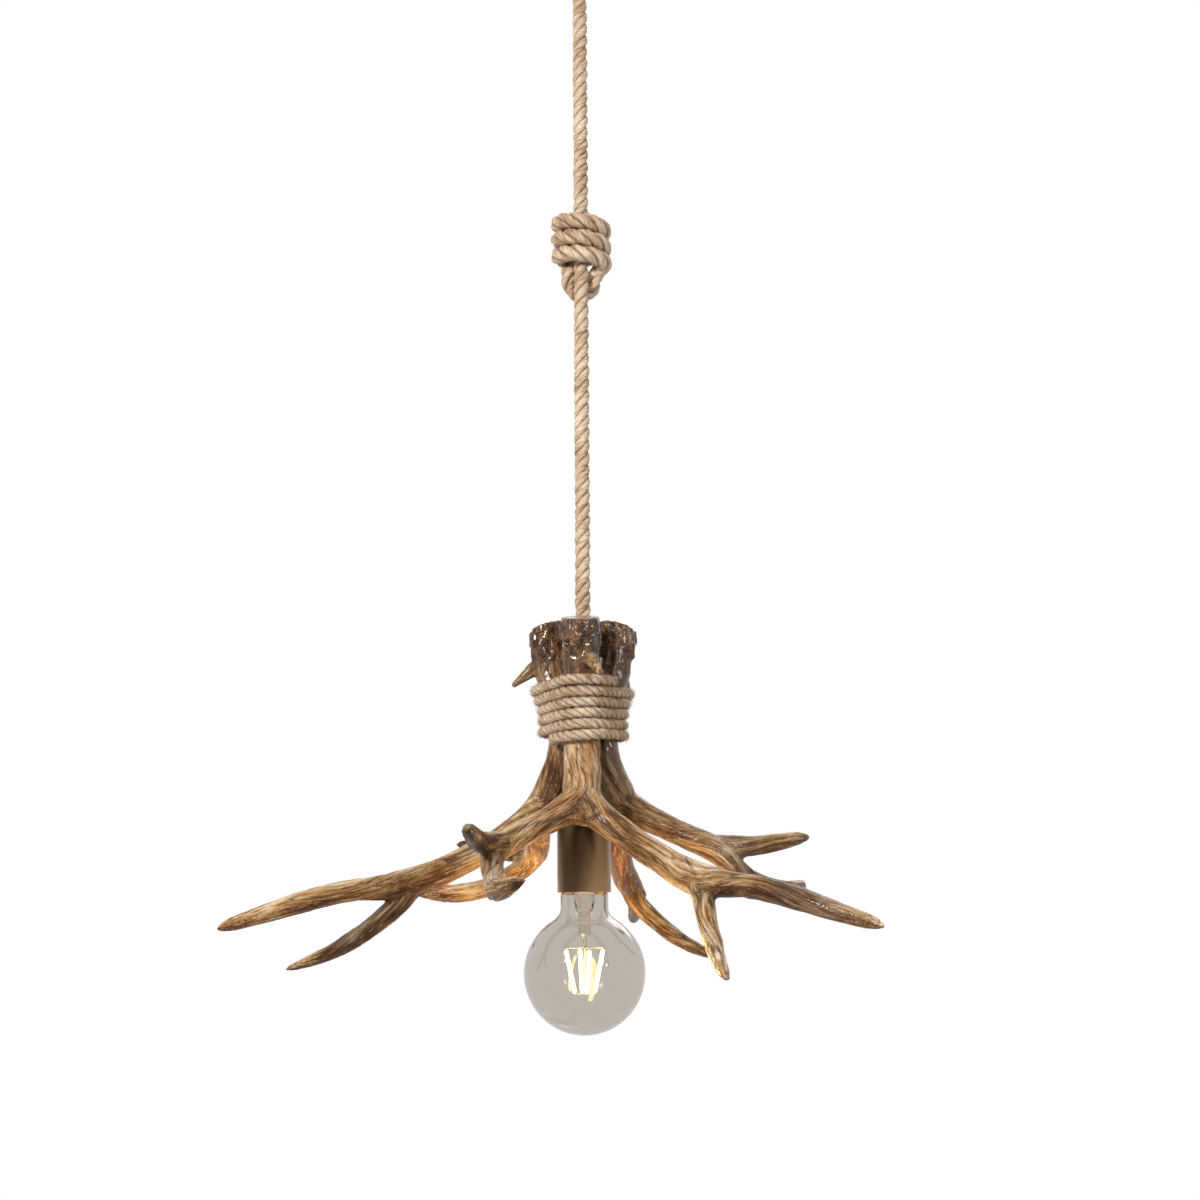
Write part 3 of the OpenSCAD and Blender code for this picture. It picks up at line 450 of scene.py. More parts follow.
def binding_line():
    """Points of the binding's middle line round the three trunks, from tail to tail."""
    first = PLACES["front"] / 2 + PLACES["left"] / 2 - 180
    last = PLACES["front"] / 2 + PLACES["right"] / 2 + 360 * BINDING_TURNS

    def height(a):
        return BINDING_H + BINDING_PITCH * (a - first) / 360

    def around(a, r, h):
        return np.array((r * cosd(a), r * sind(a), h - DROP))

    def tail(a, way, inner, k):
        h, out, b = height(a), inner + BINDING_D, a + way * TAIL_BEND
        if k < 2:
            return around(a, inner + BINDING_D * k / 2, h)
        p, q = around(a, out, h), around(b, wrap_r(b, h), h)
        v = TAIL_PULL * way * np.array((cosd(b + 90), sind(b + 90), 0))
        return hermite(p, around(a, out + TAIL_PULL, h) - p, q, v, (k - 2) / 3)

    turns = np.arange(first + TAIL_BEND, last - TAIL_BEND + 0.1, BINDING_STEP)
    line = [tail(first, 1, TAIL_LOW_IN, k) for k in range(5)]
    line += [around(a, wrap_r(a, height(a)), height(a)) for a in turns]
    line += [tail(last, -1, TAIL_HIGH_IN, k) for k in range(5, -1, -1)]
    sway = value_noise(np.array(line) / BINDING_SWAY_STEP) - 0.5
    return [(p[0], p[1], p[2] + BINDING_SWAY * d) for p, d in zip(line, sway)]


rope_line = [tuple(c / MM for c in point) for point in ROPE_ROUTE]
rope = twisted_rope("hanging_rope", rope_line, [ROPE_FULL_D / 2] * len(rope_line),
                    side=(1, 0, 0), lay=32.0, start=0.4, seed=3)
knot_points, knot_radii = knot_line()
knot = twisted_rope("rope_knot", knot_points, [KNOT_FULL * r for r in knot_radii],
                    side=(0, 0, 1), lay=36.0, start=1.0, seed=5, fuzz=2.5)
wound = binding_line()
binding = twisted_rope("binding_rope", wound, [BINDING_FULL_D / 2] * len(wound),
                       side=(0, 0, 1), lay=21.0, start=0.2, seed=7, sides=12, fuzz=6.0, rise=1.6)


# Antlers: the solid, remeshed fine and carved along its limbs.

ANTLER_VOXEL = 0.0012
ANTLER_SMOOTHS = 6
LIMB_R = 9.0            # a limb's usual radius, in millimetres
ROOT_L = 14.0           # over this length, a branch keeps the grain of the limb it grows from
GRAIN_L = 40.0
GRAIN_WAVES = ((0.5, 34, 1), (0.25, 15, 2))

# Relief in millimetres: depth and size of the grooves, swells, roughness and pearls.
GROOVE_DEEP = 0.62
SWELL, SWELL_SIZE = 0.9, 17.0
ROUGH, ROUGH_SIZE = 0.22, 3.2
PEARL, PEARL_W, PEARL_L = 2.2, 3.4, 5.5
PIT, PIT_FROM = 3.0, 0.35
RELIEF_IN, RELIEF_OUT, RELIEF_SHIFT = -2.2, 0.7, -0.1

# The pearled end lies above these heights and within this radius, and the sawn top above its own.
# The inner side keeps the solid's shape against the hub, within these distances from the axis.
BURR_FROM, BURR_FULL, BURR_R = 172, 186, 60
SAWN_FROM = 200
INNER_FROM, INNER_FULL = 20, 14
AGE_AND_SHADE_RISE = 60

# The sawn top looks up by these cosines and loses this part of its relief. The amber lies this near
# the spur's line, fades over a width and starts this far out, and has this much less of the pearls.
SAWN_UP = (0.75, 0.9)
SAWN_EVEN = 0.85
SPUR_NEAR, SPUR_FADE = 3, 3.5
SPUR_OUT = (-46, -51)
SPUR_BARE = 0.7
GROOVE_MOST = 1.6
THIN_LEAST = 0.15       # the least that "thick" says, for a thin tip

# Three sizes of grooves: how many round the limb, a shift and one for each limb, length, how
# narrow, how steep, depth.
GROOVES = [(2.1, 9, 3, 62, 7, 1.5, 0.9), (4.3, 21, 5, 40, 6, 1.3, 0.55),
           (9.0, 40, 7, 28, 5, 1.0, 0.35)]

# Dark places on each antler, partly dark paint at the tips and partly painted shade in the crotches
# and under the limbs: point in its own frame, reach and strength.
SHADES = {
    "front": [((92, -112, -8), 16, 0.35), ((108, -124, -2), 22, 0.45), ((158, -157, -7), 42, 0.95),
              ((-71, -163, 42), 18, 1.0), ((-71, -132, 37), 20, 1.0), ((-63, -108, 30), 16, 0.5),
              ((-34, -194, 5), 9, 0.8)],
    "right": [((-66, -108, 30), 20, 0.9), ((-60, -100, 18), 14, 0.6), ((-71, -163, 42), 10, 0.7),
              ((105, -211, -58), 10, 0.6), ((-27, -59, 52), 34, 0.4), ((-60, -84, 33), 26, 0.4)],
    "left": [((92, -112, -8), 24, 1.0), ((94, -131, -22), 20, 0.8), ((98, -160, -38), 30, 0.55),
             ((105, -211, -58), 12, 0.6), ((-71, -163, 42), 14, 0.8)],
}

# How dark each trunk gets, partly with age and partly as painted shade where it lies in shadow and
# below the binding, the height from which it does, and how amber the spur is.
AGE_AND_SHADE = {"front": 0.75, "right": 1.0, "left": 0.35}
AGE_AND_SHADE_FROM = {"front": 108, "right": 62, "left": 92}
AMBER_SPUR = {"front": 0.75, "right": 0.3, "left": 0.0}

# The limbs' middle lines in the front antler's own frame, in millimetres, and a side for each.
TRUNK_LINE = [row[:3] for row in TRUNK]
LIMBS = [(smooth_line(TRUNK_LINE + RIGHT_BEAM, 3), (1, 0, 0)),
         (smooth_line(TRUNK_LINE[-2:] + LEFT_BEAM, 3), (1, 0, 0)),
         (smooth_line(DOWN_TINE, 3), (1, 0, 0)), (smooth_line(UP_TINE, 3), (0, 0, 1)),
         (smooth_line(SPUR, 2), (0, 1, 0))]
LOOKUP_ROWS = 4000      # points whose nearest place on a limb is looked up at a time


def limb_coordinates(X, line, side):
    """For points X: distance along the limb, angle round it and distance from it."""
    T, B, A = frames_along(line, side)
    near = np.empty(len(X), int)
    for k in range(0, len(X), LOOKUP_ROWS):
        d = ((X[k:k + LOOKUP_ROWS, None, :] - line[None, :, :]) ** 2).sum(-1)
        near[k:k + LOOKUP_ROWS] = d.argmin(1)
    rel = X - line[near]
    along = distances(line)[near] + (rel * T[near]).sum(1)
    x, y = (rel * A[near]).sum(1), (rel * B[near]).sum(1)
    return along, np.arctan2(y, x), np.hypot(x, y)


def fine_copy(node, name):
    """A copy of a CAD solid, remeshed fine and smoothed."""
    work = add_object(name + "_work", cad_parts[node].data.copy())
    weld = work.modifiers.new("weld", "WELD")
    weld.merge_threshold = 0.00002
    remesh = work.modifiers.new("remesh", "REMESH")
    remesh.mode = "VOXEL"
    remesh.voxel_size = ANTLER_VOXEL
    remesh.use_smooth_shade = True
    smooth = work.modifiers.new("smooth", "SMOOTH")
    smooth.factor = 0.5
    smooth.iterations = ANTLER_SMOOTHS
    graph = bpy.context.evaluated_depsgraph_get()
    mesh = bpy.data.meshes.new_from_object(work.evaluated_get(graph))
    bpy.data.objects.remove(work)
    return add_object(name, mesh)


def groove_depth(ring, along, k):
    """How deep the grooves of limb k are at each place round and along it."""
    deep = 0
    for count, shift, apart, length, narrow, steep, depth in GROOVES:
        place = np.column_stack([ring * count + shift + apart * k, along / length])
        off = np.abs(value_noise(place) - 0.5)
        deep = deep + depth * np.clip(1 - off * narrow, 0, 1) ** steep
    return deep


def limb_field(X):
    """For points X: how deep in a groove each is, its place in the grain, its limb's radius there
    and how far it is from the spur, which is the last of the limbs."""
    groove, total, radius = np.zeros((3, len(X)))
    nearest, grain = np.full(len(X), np.inf), np.zeros((len(X), 3))
    for k, (line, side) in enumerate(LIMBS):
        along, angle, dist = limb_coordinates(X, line, side)
        wavy = angle + sum(far * np.sin(along / length + shift * k)
                           for far, length, shift in GRAIN_WAVES)
        ring = np.stack([np.cos(wavy), np.sin(wavy)], 1)
        w = np.exp(-(dist / LIMB_R) ** 2) + 1e-9
        groove += w * groove_depth(ring, along, k)
        total += w
        apart = dist + (ROOT_L - np.clip(along, 0, ROOT_L)) * (k > 0)
        here = apart < nearest
        nearest[here] = apart[here]
        radius[here] = dist[here]
        place = np.column_stack([ring * dist[:, None] / LIMB_R + 4 * k, along / GRAIN_L + 3.3 * k])
        grain[here] = place[here]
    return np.clip(groove / total, 0, GROOVE_MOST), grain, radius, dist


def dress_antler(which):
    node = "antler_" + which
    obj = fine_copy(node, which + "_antler")
    low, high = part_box(node)
    co, no = vertex_vectors(obj, "co"), vertex_vectors(obj, "normal")
    turn = PLACES[which] + 90
    back = np.array([[cosd(turn), sind(turn), 0], [-sind(turn), cosd(turn), 0], [0, 0, 1]])
    X = (co / MM) @ back.T
    X[:, 2] += DROP
    out_y, height, from_axis = X[:, 1], X[:, 2], np.hypot(X[:, 0], X[:, 1])
    groove, grain, radius, from_spur = limb_field(X)
    spur = np.exp(-(np.maximum(from_spur - SPUR_NEAR, 0) / SPUR_FADE) ** 2)
    spur = spur * ramp(out_y, *SPUR_OUT)
    swell = value_noise(X / SWELL_SIZE + 5) - 0.5
    rough = value_noise(X / ROUGH_SIZE + 17) - 0.5
    pearl = value_noise(X / (PEARL_W, PEARL_W, PEARL_L) + 31)
    burr = ramp(height, BURR_FROM, BURR_FULL) * (from_axis < BURR_R)
    sawn = ramp(no[:, 2], *SAWN_UP) * (height > SAWN_FROM)
    inner = ramp(from_axis, INNER_FROM, INNER_FULL)
    relief = SWELL * swell + ROUGH * rough - GROOVE_DEEP * groove + RELIEF_SHIFT
    relief += burr * (PEARL * (pearl - 0.5) - PIT * np.clip(PIT_FROM - pearl, 0, 1))
    relief = np.clip(relief, RELIEF_IN, RELIEF_OUT) * (1 - SAWN_EVEN * sawn) * (1 - inner)
    co = np.clip(co + no * (relief * MM)[:, None], np.array(low), np.array(high))
    obj.data.vertices.foreach_set("co", co.astype(np.float32).ravel())
    obj.data.update()
    # Dark paint at the tips, and painted shade in the crotches and under the limbs.
    shade = np.zeros(len(X))
    for point, reach, strength in SHADES[which]:
        d = np.linalg.norm(X - np.array(point), axis=1)
        shade = np.maximum(shade, strength * np.exp(-(d / reach) ** 2))
    keep_at_points(
        obj, grain=grain, groove=np.clip(groove, 0, 1), pearl=pearl, shade=shade, cut=sawn,
        thick=np.clip(radius / LIMB_R, THIN_LEAST, 1), burr=burr * (1 - SPUR_BARE * spur),
        # worn is how far each point faces up: painted light on upward faces and painted shade on
        # downward ones.
        spur=spur * AMBER_SPUR[which], worn=np.clip(no[:, 2], -1, 1) * (1 - sawn),
        # Darker up each trunk, partly with age and partly as painted shade.
        age=ramp(height, AGE_AND_SHADE_FROM[which], AGE_AND_SHADE_FROM[which] + AGE_AND_SHADE_RISE) * AGE_AND_SHADE[which])
    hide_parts(node)
    return obj


antlers = [dress_antler(which) for which in PLACES]


# Turned pieces and rods.

TURNED_SIDES = 160
STEM_SIDES = 64
ROD_SIDES = 20
CORNER_STEPS = 5
DOME_STEPS = 3
DOME_L, DOME_TIP = 0.8, 0.05            # a rod's domed end: length and blunt tip, in its radii
GLOBE_STEPS = 60
NECK_STEPS = 12
NECK_FLARE = 5.5        # the globe's arc ends this far outside the neck
NECK_PULL = 9.0         # how strongly the curve between them keeps both directions
COVER_BEVEL = 0.15
STICK_GLOW_R = 1.4
STICK_SHORT_HIGH, STICK_SHORT_LOW = 0.4, 0.8    # the glowing part ends this far inside a stick
# The cover's painted reflection of the dark limbs beside it is darkest at this angle from +X, in
# degrees, and fades over this width.
DARK_REFLECTION_AT = -120.0
DARK_REFLECTION_WIDE = 52.0
# The part from the top is painted shadow of the antlers over the cover.
DARK_REFLECTION_PART, TOP_SHADOW_PART = 0.92, 0.55    # how much of it comes from that side, and from the top


def lathe(name, profile, segments):
    """A turned piece from a closed profile of radius and height, measured from the ceiling."""
    P = np.array(profile, float)
    r, z = P[:, 0:1], P[:, 1:2]
    a = 2 * math.pi * np.arange(segments) / segments
    verts = np.stack([r * np.cos(a), r * np.sin(a), np.repeat(z, segments, 1)], -1)
    m = len(P)
    after = np.roll(P, -1, 0)
    outwards = (P[:, 0] * after[:, 1] - after[:, 0] * P[:, 1]).sum() > 0
    faces = []
    for i in range(m):
        for j in range(segments):
            k = (j + 1) % segments
            p, q = i * segments, ((i + 1) % m) * segments
            face = (p + k, q + k, q + j, p + j)
            faces.append(face if outwards else face[::-1])
    obj = new_mesh(name, verts.reshape(-1, 3) * MM, faces)
    weld = obj.modifiers.new("weld", "WELD")
    weld.merge_threshold = 0.000002
    return obj


def glass_profile(wall):
    """The bulb's outline, in by the given wall, from its lowest point to the tube in the cap."""
    R = GLOBE_D / 2 - wall
    n = NECK_D / 2 - wall
    cap_in = CAP_D / 2 - CAP_WALL - FIT
    shoulder = NECK_D / 2 - cap_in
    end = 90 - math.degrees(math.asin((NECK_D / 2 + NECK_FLARE) / (GLOBE_D / 2)))
    join = (R * cosd(end), R * sind(end) - GLOBE_DROP)
    slope = (-sind(end) * NECK_PULL, cosd(end) * NECK_PULL)
    arc = np.linspace(-89.6, end, GLOBE_STEPS)[:-1]
    line = [(R * cosd(a), R * sind(a) - GLOBE_DROP) for a in arc]
    line += [tuple(hermite(join, slope, (n, -NECK_DROP), (0, NECK_PULL), k / NECK_STEPS))
             for k in range(NECK_STEPS + 1)]
    line += [(n - shoulder * (1 - cosd(a)), -SHOULDER_LOW + (shoulder - wall) * sind(a))
             for a in range(0, 91, 9)]
    line += [(cap_in - wall, GLASS_HIGH)]
    return [(r, z - DROP) for r, z in line]


def add_globe():
    obj = lathe("bulb_glass", glass_profile(0) + glass_profile(GLASS_WALL)[::-1], TURNED_SIDES)
    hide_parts("bulb_globe")
    return obj


def rounded(points):
    """A profile whose listed corners (r, z, fillet) are rounded."""
    out = []
    for i, (r, z, fillet) in enumerate(points):
        p = np.array((r, z), float)
        if fillet == 0:
            out.append(tuple(p))
            continue
        a = p + unit(np.array(points[i - 1][:2], float) - p) * fillet
        b = p + unit(np.array(points[i + 1][:2], float) - p) * fillet
        for k in range(CORNER_STEPS + 1):
            t = k / CORNER_STEPS
            out.append(tuple((1 - t) ** 2 * a + 2 * t * (1 - t) * p + t * t * b))
    return out


def add_cover():
    r, inside, hole = COVER_D / 2, COVER_D / 2 - COVER_WALL, STEM_D / 2 + FIT
    rim, top = -DROP, COVER_H - DROP
    under = top - COVER_WALL
    shape = [(inside, rim, 0), (r - COVER_BEVEL, rim, 0), (r, rim + 2 * COVER_BEVEL, 0),
             (r, top, COVER_CORNER), (hole, top, 0), (hole, under, 0),
             (inside, under, COVER_CORNER - COVER_WALL), (inside, rim, 0)]
    obj = lathe("socket_cover", rounded(shape), TURNED_SIDES)
    X = vertex_vectors(obj, "co")
    angle = np.degrees(np.arctan2(X[:, 1], X[:, 0]))
    up = np.clip((X[:, 2] / MM + DROP) / COVER_H, 0, 1)
    # Painted reflection of the dark limbs on one side, and painted shadow growing towards the top.
    facing = np.exp(-((angle - DARK_REFLECTION_AT) / DARK_REFLECTION_WIDE) ** 2)
    keep_at_points(obj, patina=np.clip(DARK_REFLECTION_PART * facing + TOP_SHADOW_PART * up ** 2, 0, 1))
    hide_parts("lamp_cover")
    return obj


def dome_line(p, q, radius):
    """Points from p to q, with extra ones near both ends, and the radius at each."""
    d = unit(q - p)
    dome = [math.pi / 2 * k / DOME_STEPS for k in range(DOME_STEPS + 1)]
    inset = [DOME_L * radius * (1 - math.cos(a)) for a in dome]
    wide = [max(radius * math.sin(a), radius * DOME_TIP) for a in dome]
    points = [p + d * x for x in inset] + [q - d * x for x in inset[::-1]]
    return np.array(points), np.array(wide + wide[::-1])


def rods(name, ends, radius):
    """Rods with domed ends, joined into one object."""
    verts, faces = [], []
    phi = 2 * math.pi * np.arange(ROD_SIDES) / ROD_SIDES
    for p, q in ends:
        p, q = np.array(p, float), np.array(q, float)
        P, R = dome_line(p, q, radius)
        a = unit(np.cross(unit(q - p), (0.3, 0.2, 0.93)))
        b = np.cross(unit(q - p), a)
        circle = a * np.cos(phi)[:, None] + b * np.sin(phi)[:, None]
        faces += tube_faces(len(P), ROD_SIDES, len(verts))
        verts += list((P[:, None, :] + R[:, None, None] * circle[None]).reshape(-1, 3))
    return new_mesh(name, np.array(verts) * MM, faces)


def stick_point(i, r, depth):
    a = 360 * i / STICKS + STICK_FIRST
    return (r * cosd(a), r * sind(a), -depth - DROP)


def add_sticks():
    high, low = STICK_HIGH + STICK_SHORT_HIGH, STICK_HIGH + STICK_DROP - STICK_SHORT_LOW
    ends = [(stick_point(i, STICK_R_HIGH, high), stick_point(i, STICK_R_LOW, low))
            for i in range(STICKS)]
    obj = rods("glow_sticks", ends, STICK_GLOW_R)
    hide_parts("filament_sticks")
    return obj


def add_stem():
    """The hollow glass stem: a flare at the top, a tube, and the pinch that holds the wires."""
    top, bore = CAP_D / 2 - CAP_WALL - FIT - GLASS_WALL - FIT, STEM_R - STEM_WALL
    flare = [(top, GLASS_HIGH - 2), (8.6, -2), (7.2, -STEM_FLARE + 2.5), (7.0, -STEM_FLARE + 0.8),
             (6.2, -STEM_FLARE), (5.2, -STEM_FLARE - 0.4), (STEM_R, -STEM_FLARE - 1.6)]
    tube = [(STEM_R, -STEM_TUBE + 2), (STEM_R - 0.5, -STEM_TUBE + 0.4), (3.0, -STEM_TUBE - 1.4),
            (2.2, -STEM_TUBE - 3.6)]
    pinch = [(2.0, -STEM_PINCH + 1), (1.4, -STEM_PINCH + 0.2), (0.1, -STEM_PINCH)]
    inner = [(0.1, -STEM_TUBE - 0.6), (1.9, -STEM_TUBE - 0.2), (bore, -STEM_TUBE + 2.4),
             (bore, -STEM_FLARE - 1.6), (6.2, -STEM_FLARE + 1), (7.8, -2),
             (top - STEM_WALL, GLASS_HIGH - 2)]
    line = flare + tube + pinch + inner
    obj = lathe("bulb_glass_stem", [(r, z - DROP) for r, z in line], STEM_SIDES)
    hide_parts("bulb_stem")
    return obj


glass = add_globe()
cover = add_cover()
sticks = add_sticks()
stem = add_stem()


# Materials. A colour is linear red, green and blue, and a ramp has a colour at each of its places.

BROWN = ((0.38, (0.080, 0.027, 0.006)), (0.45, (0.230, 0.096, 0.026)),
         (0.52, (0.418, 0.226, 0.086)), (0.59, (0.612, 0.422, 0.238)),
         (0.67, (0.870, 0.750, 0.580)))
GROOVE_BROWN = (0.045, 0.018, 0.007)
STREAK_BROWN = (0.070, 0.027, 0.007)
RUBBED = (0.860, 0.740, 0.560)
# The trunk's darker browns, partly age and partly painted shade.
AGED_AND_SHADED = ((0.39, (0.020, 0.007, 0.003)), (0.50, (0.072, 0.028, 0.009)),
        (0.62, (0.210, 0.105, 0.042)))
DARK_ACCENTS_AND_SHADE = ((0.40, (0.008, 0.003, 0.002)), (0.50, (0.032, 0.011, 0.006)),
           (0.61, (0.150, 0.070, 0.038)))
PEARLED = ((0.38, (0.022, 0.007, 0.002)), (0.47, (0.065, 0.025, 0.007)),
           (0.55, (0.160, 0.073, 0.025)), (0.64, (0.290, 0.155, 0.066)))
AMBER = ((0.42, (0.080, 0.030, 0.010)), (0.50, (0.330, 0.165, 0.050)),
         (0.60, (0.640, 0.420, 0.190)))
SAWN = ((0.35, (0.34, 0.23, 0.15)), (0.65, (0.60, 0.47, 0.34)))
JUTE = ((0.36, (0.21, 0.104, 0.050)), (0.44, (0.48, 0.305, 0.176)),
        (0.52, (0.71, 0.532, 0.366)), (0.64, (0.89, 0.780, 0.630)))
JUTE_CREVICE_SHADE = (0.13, 0.058, 0.024)
JUTE_SHEEN = (0.9, 0.75, 0.55)
BRONZE = ((0.30, (0.230, 0.135, 0.058)), (0.50, (0.310, 0.190, 0.088)),
          (0.72, (0.450, 0.305, 0.155)))
# The bronze's dark colours for painted reflection and painted shadow.
BRONZE_IN_SHADE = ((0.30, (0.014, 0.007, 0.003)), (0.50, (0.030, 0.015, 0.006)),
           (0.72, (0.060, 0.033, 0.014)))
GLOWING = ((0.3, (1.0, 0.70, 0.24)), (0.7, (1.0, 0.79, 0.35)))
GLOW = 420.0
BULB_TINT = (0.835, 0.815, 0.79)
STEM_TINT = (0.98, 0.97, 0.95)
GLASS_SHADE = (0.97, 0.96, 0.95)


class Nodes:
    """Short calls to build the nodes of a material or a world. An input is a number, a colour or
    another node's output."""

    def __init__(self, owner, output):
        owner.use_nodes = True
        self.owner = owner
        self.tree = owner.node_tree
        self.tree.nodes.clear()
        self.output = self.add(output)

    def add(self, kind, inputs=(), **settings):
        node = self.tree.nodes.new("ShaderNode" + kind)
        for key, value in settings.items():
            setattr(node, key, value)
        for key, value in dict(inputs).items():
            socket = node.inputs[key]
            if isinstance(value, bpy.types.NodeSocket):
                self.tree.links.new(value, socket)
            else:
                socket.default_value = (*value, 1) if socket.type == "RGBA" else value
        return node

    def ramp(self, factor, stops):
        node = self.add("ValToRGB", {"Fac": factor})
        elements = node.color_ramp.elements
        while len(elements) < len(stops):
            elements.new(0.5)
        for element, (at, colour) in zip(elements, stops):
            element.position = at
            element.color = (*colour, 1)
        return node.outputs["Color"]

    def value_ramp(self, value, low, high, to_low, to_high):
        node = self.add("MapRange", {"Value": value, "From Min": low, "From Max": high,
                                     "To Min": to_low, "To Max": to_high})
        return node.outputs["Result"]

    def mix(self, factor, a, b):
        node = self.add("Mix", {0: factor, 6: a, 7: b}, data_type="RGBA", clamp_factor=True)
        return node.outputs[2]

    def math(self, operation, a, b):
        return self.add("Math", {0: a, 1: b}, operation=operation).outputs[0]

    def times(self, a, b):
        return self.math("MULTIPLY", a, b)

    def total(self, *terms):
        """The sum of each value times its weight."""
        out = self.times(*terms[0])
        for value, weight in terms[1:]:
            out = self.math("ADD", out, self.times(value, weight))
        return out

    def noise(self, vector, scale, detail=4.0, rough=0.55, swirl=0.0, stretch=None):
        """Noise, drawn out along each direction in which stretch is less than in the others."""
        if stretch:
            vector = self.add("Mapping", {"Vector": vector, "Scale": stretch}).outputs["Vector"]
        node = self.add("TexNoise", {"Vector": vector, "Scale": scale, "Detail": detail,
                                     "Roughness": rough, "Distortion": swirl})
        return node.outputs["Fac"]

    def place(self):
        return self.add("TexCoord").outputs["Object"]

    def attribute(self, name, output="Fac"):
        return self.add("Attribute", attribute_name=name).outputs[output]

    def bump(self, height, strength, distance):
        node = self.add("Bump", {"Height": height, "Strength": strength, "Distance": distance})
        return node.outputs["Normal"]

    def to_eye(self):
        """1 for what the camera sees, straight, mirrored or through glass, and 0 for the rest."""
        path = self.add("LightPath").outputs
        seen = self.math("MAXIMUM", path["Is Camera Ray"], path["Is Glossy Ray"])
        return self.math("MAXIMUM", seen, path["Is Transmission Ray"])

    def blend(self, factor, a, b):
        return self.add("MixShader", {0: factor, 1: a.outputs[0], 2: b.outputs[0]})

    def finish(self, shader):
        self.tree.links.new(shader.outputs[0], self.output.inputs["Surface"])
        return self.owner


def material(name):
    return Nodes(bpy.data.materials.new(name), "OutputMaterial")


def antler_resin():
    m = material("antler_resin")
    place, grain = m.place(), m.attribute("grain", "Vector")
    groove, shade, age, burr, pearl, cut, worn, spur, thick = map(
        m.attribute, ("groove", "shade", "age", "burr", "pearl", "cut", "worn", "spur", "thick"))
    long = m.noise(grain, 2.2, 6.0, 0.62, stretch=(1.0, 1.0, 0.35))
    fine = m.noise(grain, 8.5, 6.0, 0.75, stretch=(1.0, 1.0, 0.20))
    lines = m.noise(grain, 10.0, 3.0, 0.6, stretch=(1.0, 1.0, 0.12))
    rubbed = m.noise(grain, 13.0, 3.0, 0.65, stretch=(1.0, 1.0, 0.2))
    blotch = m.noise(place, 22.0, 3.0, 0.5)
    speck = m.noise(place, 420.0, 3.0, 0.6)
    flecks = m.noise(place, 230.0, 3.0, 0.6)
    curl = m.noise(place, 130.0, 3.0, 0.5, swirl=4.0)

    # The bare brown, its grooves, dark streaks and rubbed pale ones.
    # The tone is lighter where the surface faces up and darker where it faces down: painted light
    # and shade.
    tone = m.total((long, 0.4), (fine, 0.6), (m.math("SUBTRACT", blotch, 0.5), 0.35), (worn, 0.07))
    base = m.ramp(tone, BROWN)
    base = m.mix(m.value_ramp(groove, 0.35, 0.85, 0.0, 0.80), base, GROOVE_BROWN)
    base = m.mix(m.value_ramp(lines, 0.58, 0.62, 0.0, 0.75), base, STREAK_BROWN)
    base = m.mix(m.value_ramp(rubbed, 0.60, 0.66, 0.0, 0.55), base, RUBBED)

    # The trunk, darkened partly with age and partly by painted shade; dark paint at the tips and
    # painted shade in the crotches and under the limbs; the pearled end, the spur's amber, the sawn
    # top and specks.
    base = m.mix(m.times(age, 0.9), base, m.ramp(tone, AGED_AND_SHADED))
    # The mask of dark paint at the tips and painted shade in the crotches and under the limbs.
    paint = m.times(shade, m.value_ramp(long, 0.25, 0.6, 1.1, 0.75))
    base = m.mix(paint, base, m.ramp(tone, DARK_ACCENTS_AND_SHADE))
    base = m.mix(m.times(burr, 0.88), base, m.ramp(m.total((pearl, 0.3), (curl, 0.7)), PEARLED))
    base = m.mix(spur, base, m.ramp(flecks, AMBER))
    base = m.mix(m.times(cut, 0.9), base, m.ramp(m.noise(place, 60.0, 5.0, 0.6), SAWN))
    base = m.mix(m.value_ramp(speck, 0.62, 0.7, 0.0, 0.2), base, GROOVE_BROWN)

    # Relief, less of it on thin tips, and a coat of lacquer, thicker on the trunk.
    height = m.total((fine, 0.6), (speck, 0.08), (m.times(curl, burr), 3.0), (groove, -0.4))
    height = m.times(height, thick)
    rough = m.total((m.value_ramp(m.noise(place, 90.0), 0.3, 0.7, 0.26, 0.44), 1.0), (age, -0.12))
    return m.finish(m.add("BsdfPrincipled", {
        "Base Color": base, "Roughness": rough, "Normal": m.bump(height, 0.8, 0.0012),
        "Specular IOR Level": 0.06, "Subsurface Weight": 0.08, "Subsurface Scale": 0.5,
        "Subsurface Radius": (0.012, 0.005, 0.002), "Coat Roughness": 0.05,
        "Coat Weight": m.value_ramp(age, 0.0, 0.5, 0.15, 0.6),
        "Coat Normal": m.bump(height, 0.08, 0.0007)}))


def jute():
    m = material("jute_rope")
    fibre, crown = m.attribute("fibre", "Vector"), m.attribute("crown")
    threads = m.noise(fibre, 3.8, 6.0, 0.8, stretch=(1.0, 1.0, 2.0))
    tufts = m.noise(fibre, 1.2, 4.0, 0.6, stretch=(1.0, 1.0, 1.4))
    blotch = m.noise(m.place(), 34.0, 3.0, 0.5)
    tone = m.total((threads, 0.6), (tufts, 0.4), (m.math("SUBTRACT", blotch, 0.5), 0.3))
    # Where a strand faces inwards, in the crevices between strands, it darkens to painted shade.
    base = m.mix(m.value_ramp(crown, -0.2, 0.62, 0.85, 0.0), m.ramp(tone, JUTE), JUTE_CREVICE_SHADE)
    height = m.total((threads, 0.8), (tufts, 0.5))
    return m.finish(m.add("BsdfPrincipled", {
        "Base Color": base, "Roughness": 0.86, "Normal": m.bump(height, 1.0, 0.0011),
        "Specular IOR Level": 0.18, "Sheen Weight": 0.25, "Sheen Roughness": 0.5,
        "Sheen Tint": JUTE_SHEEN}))


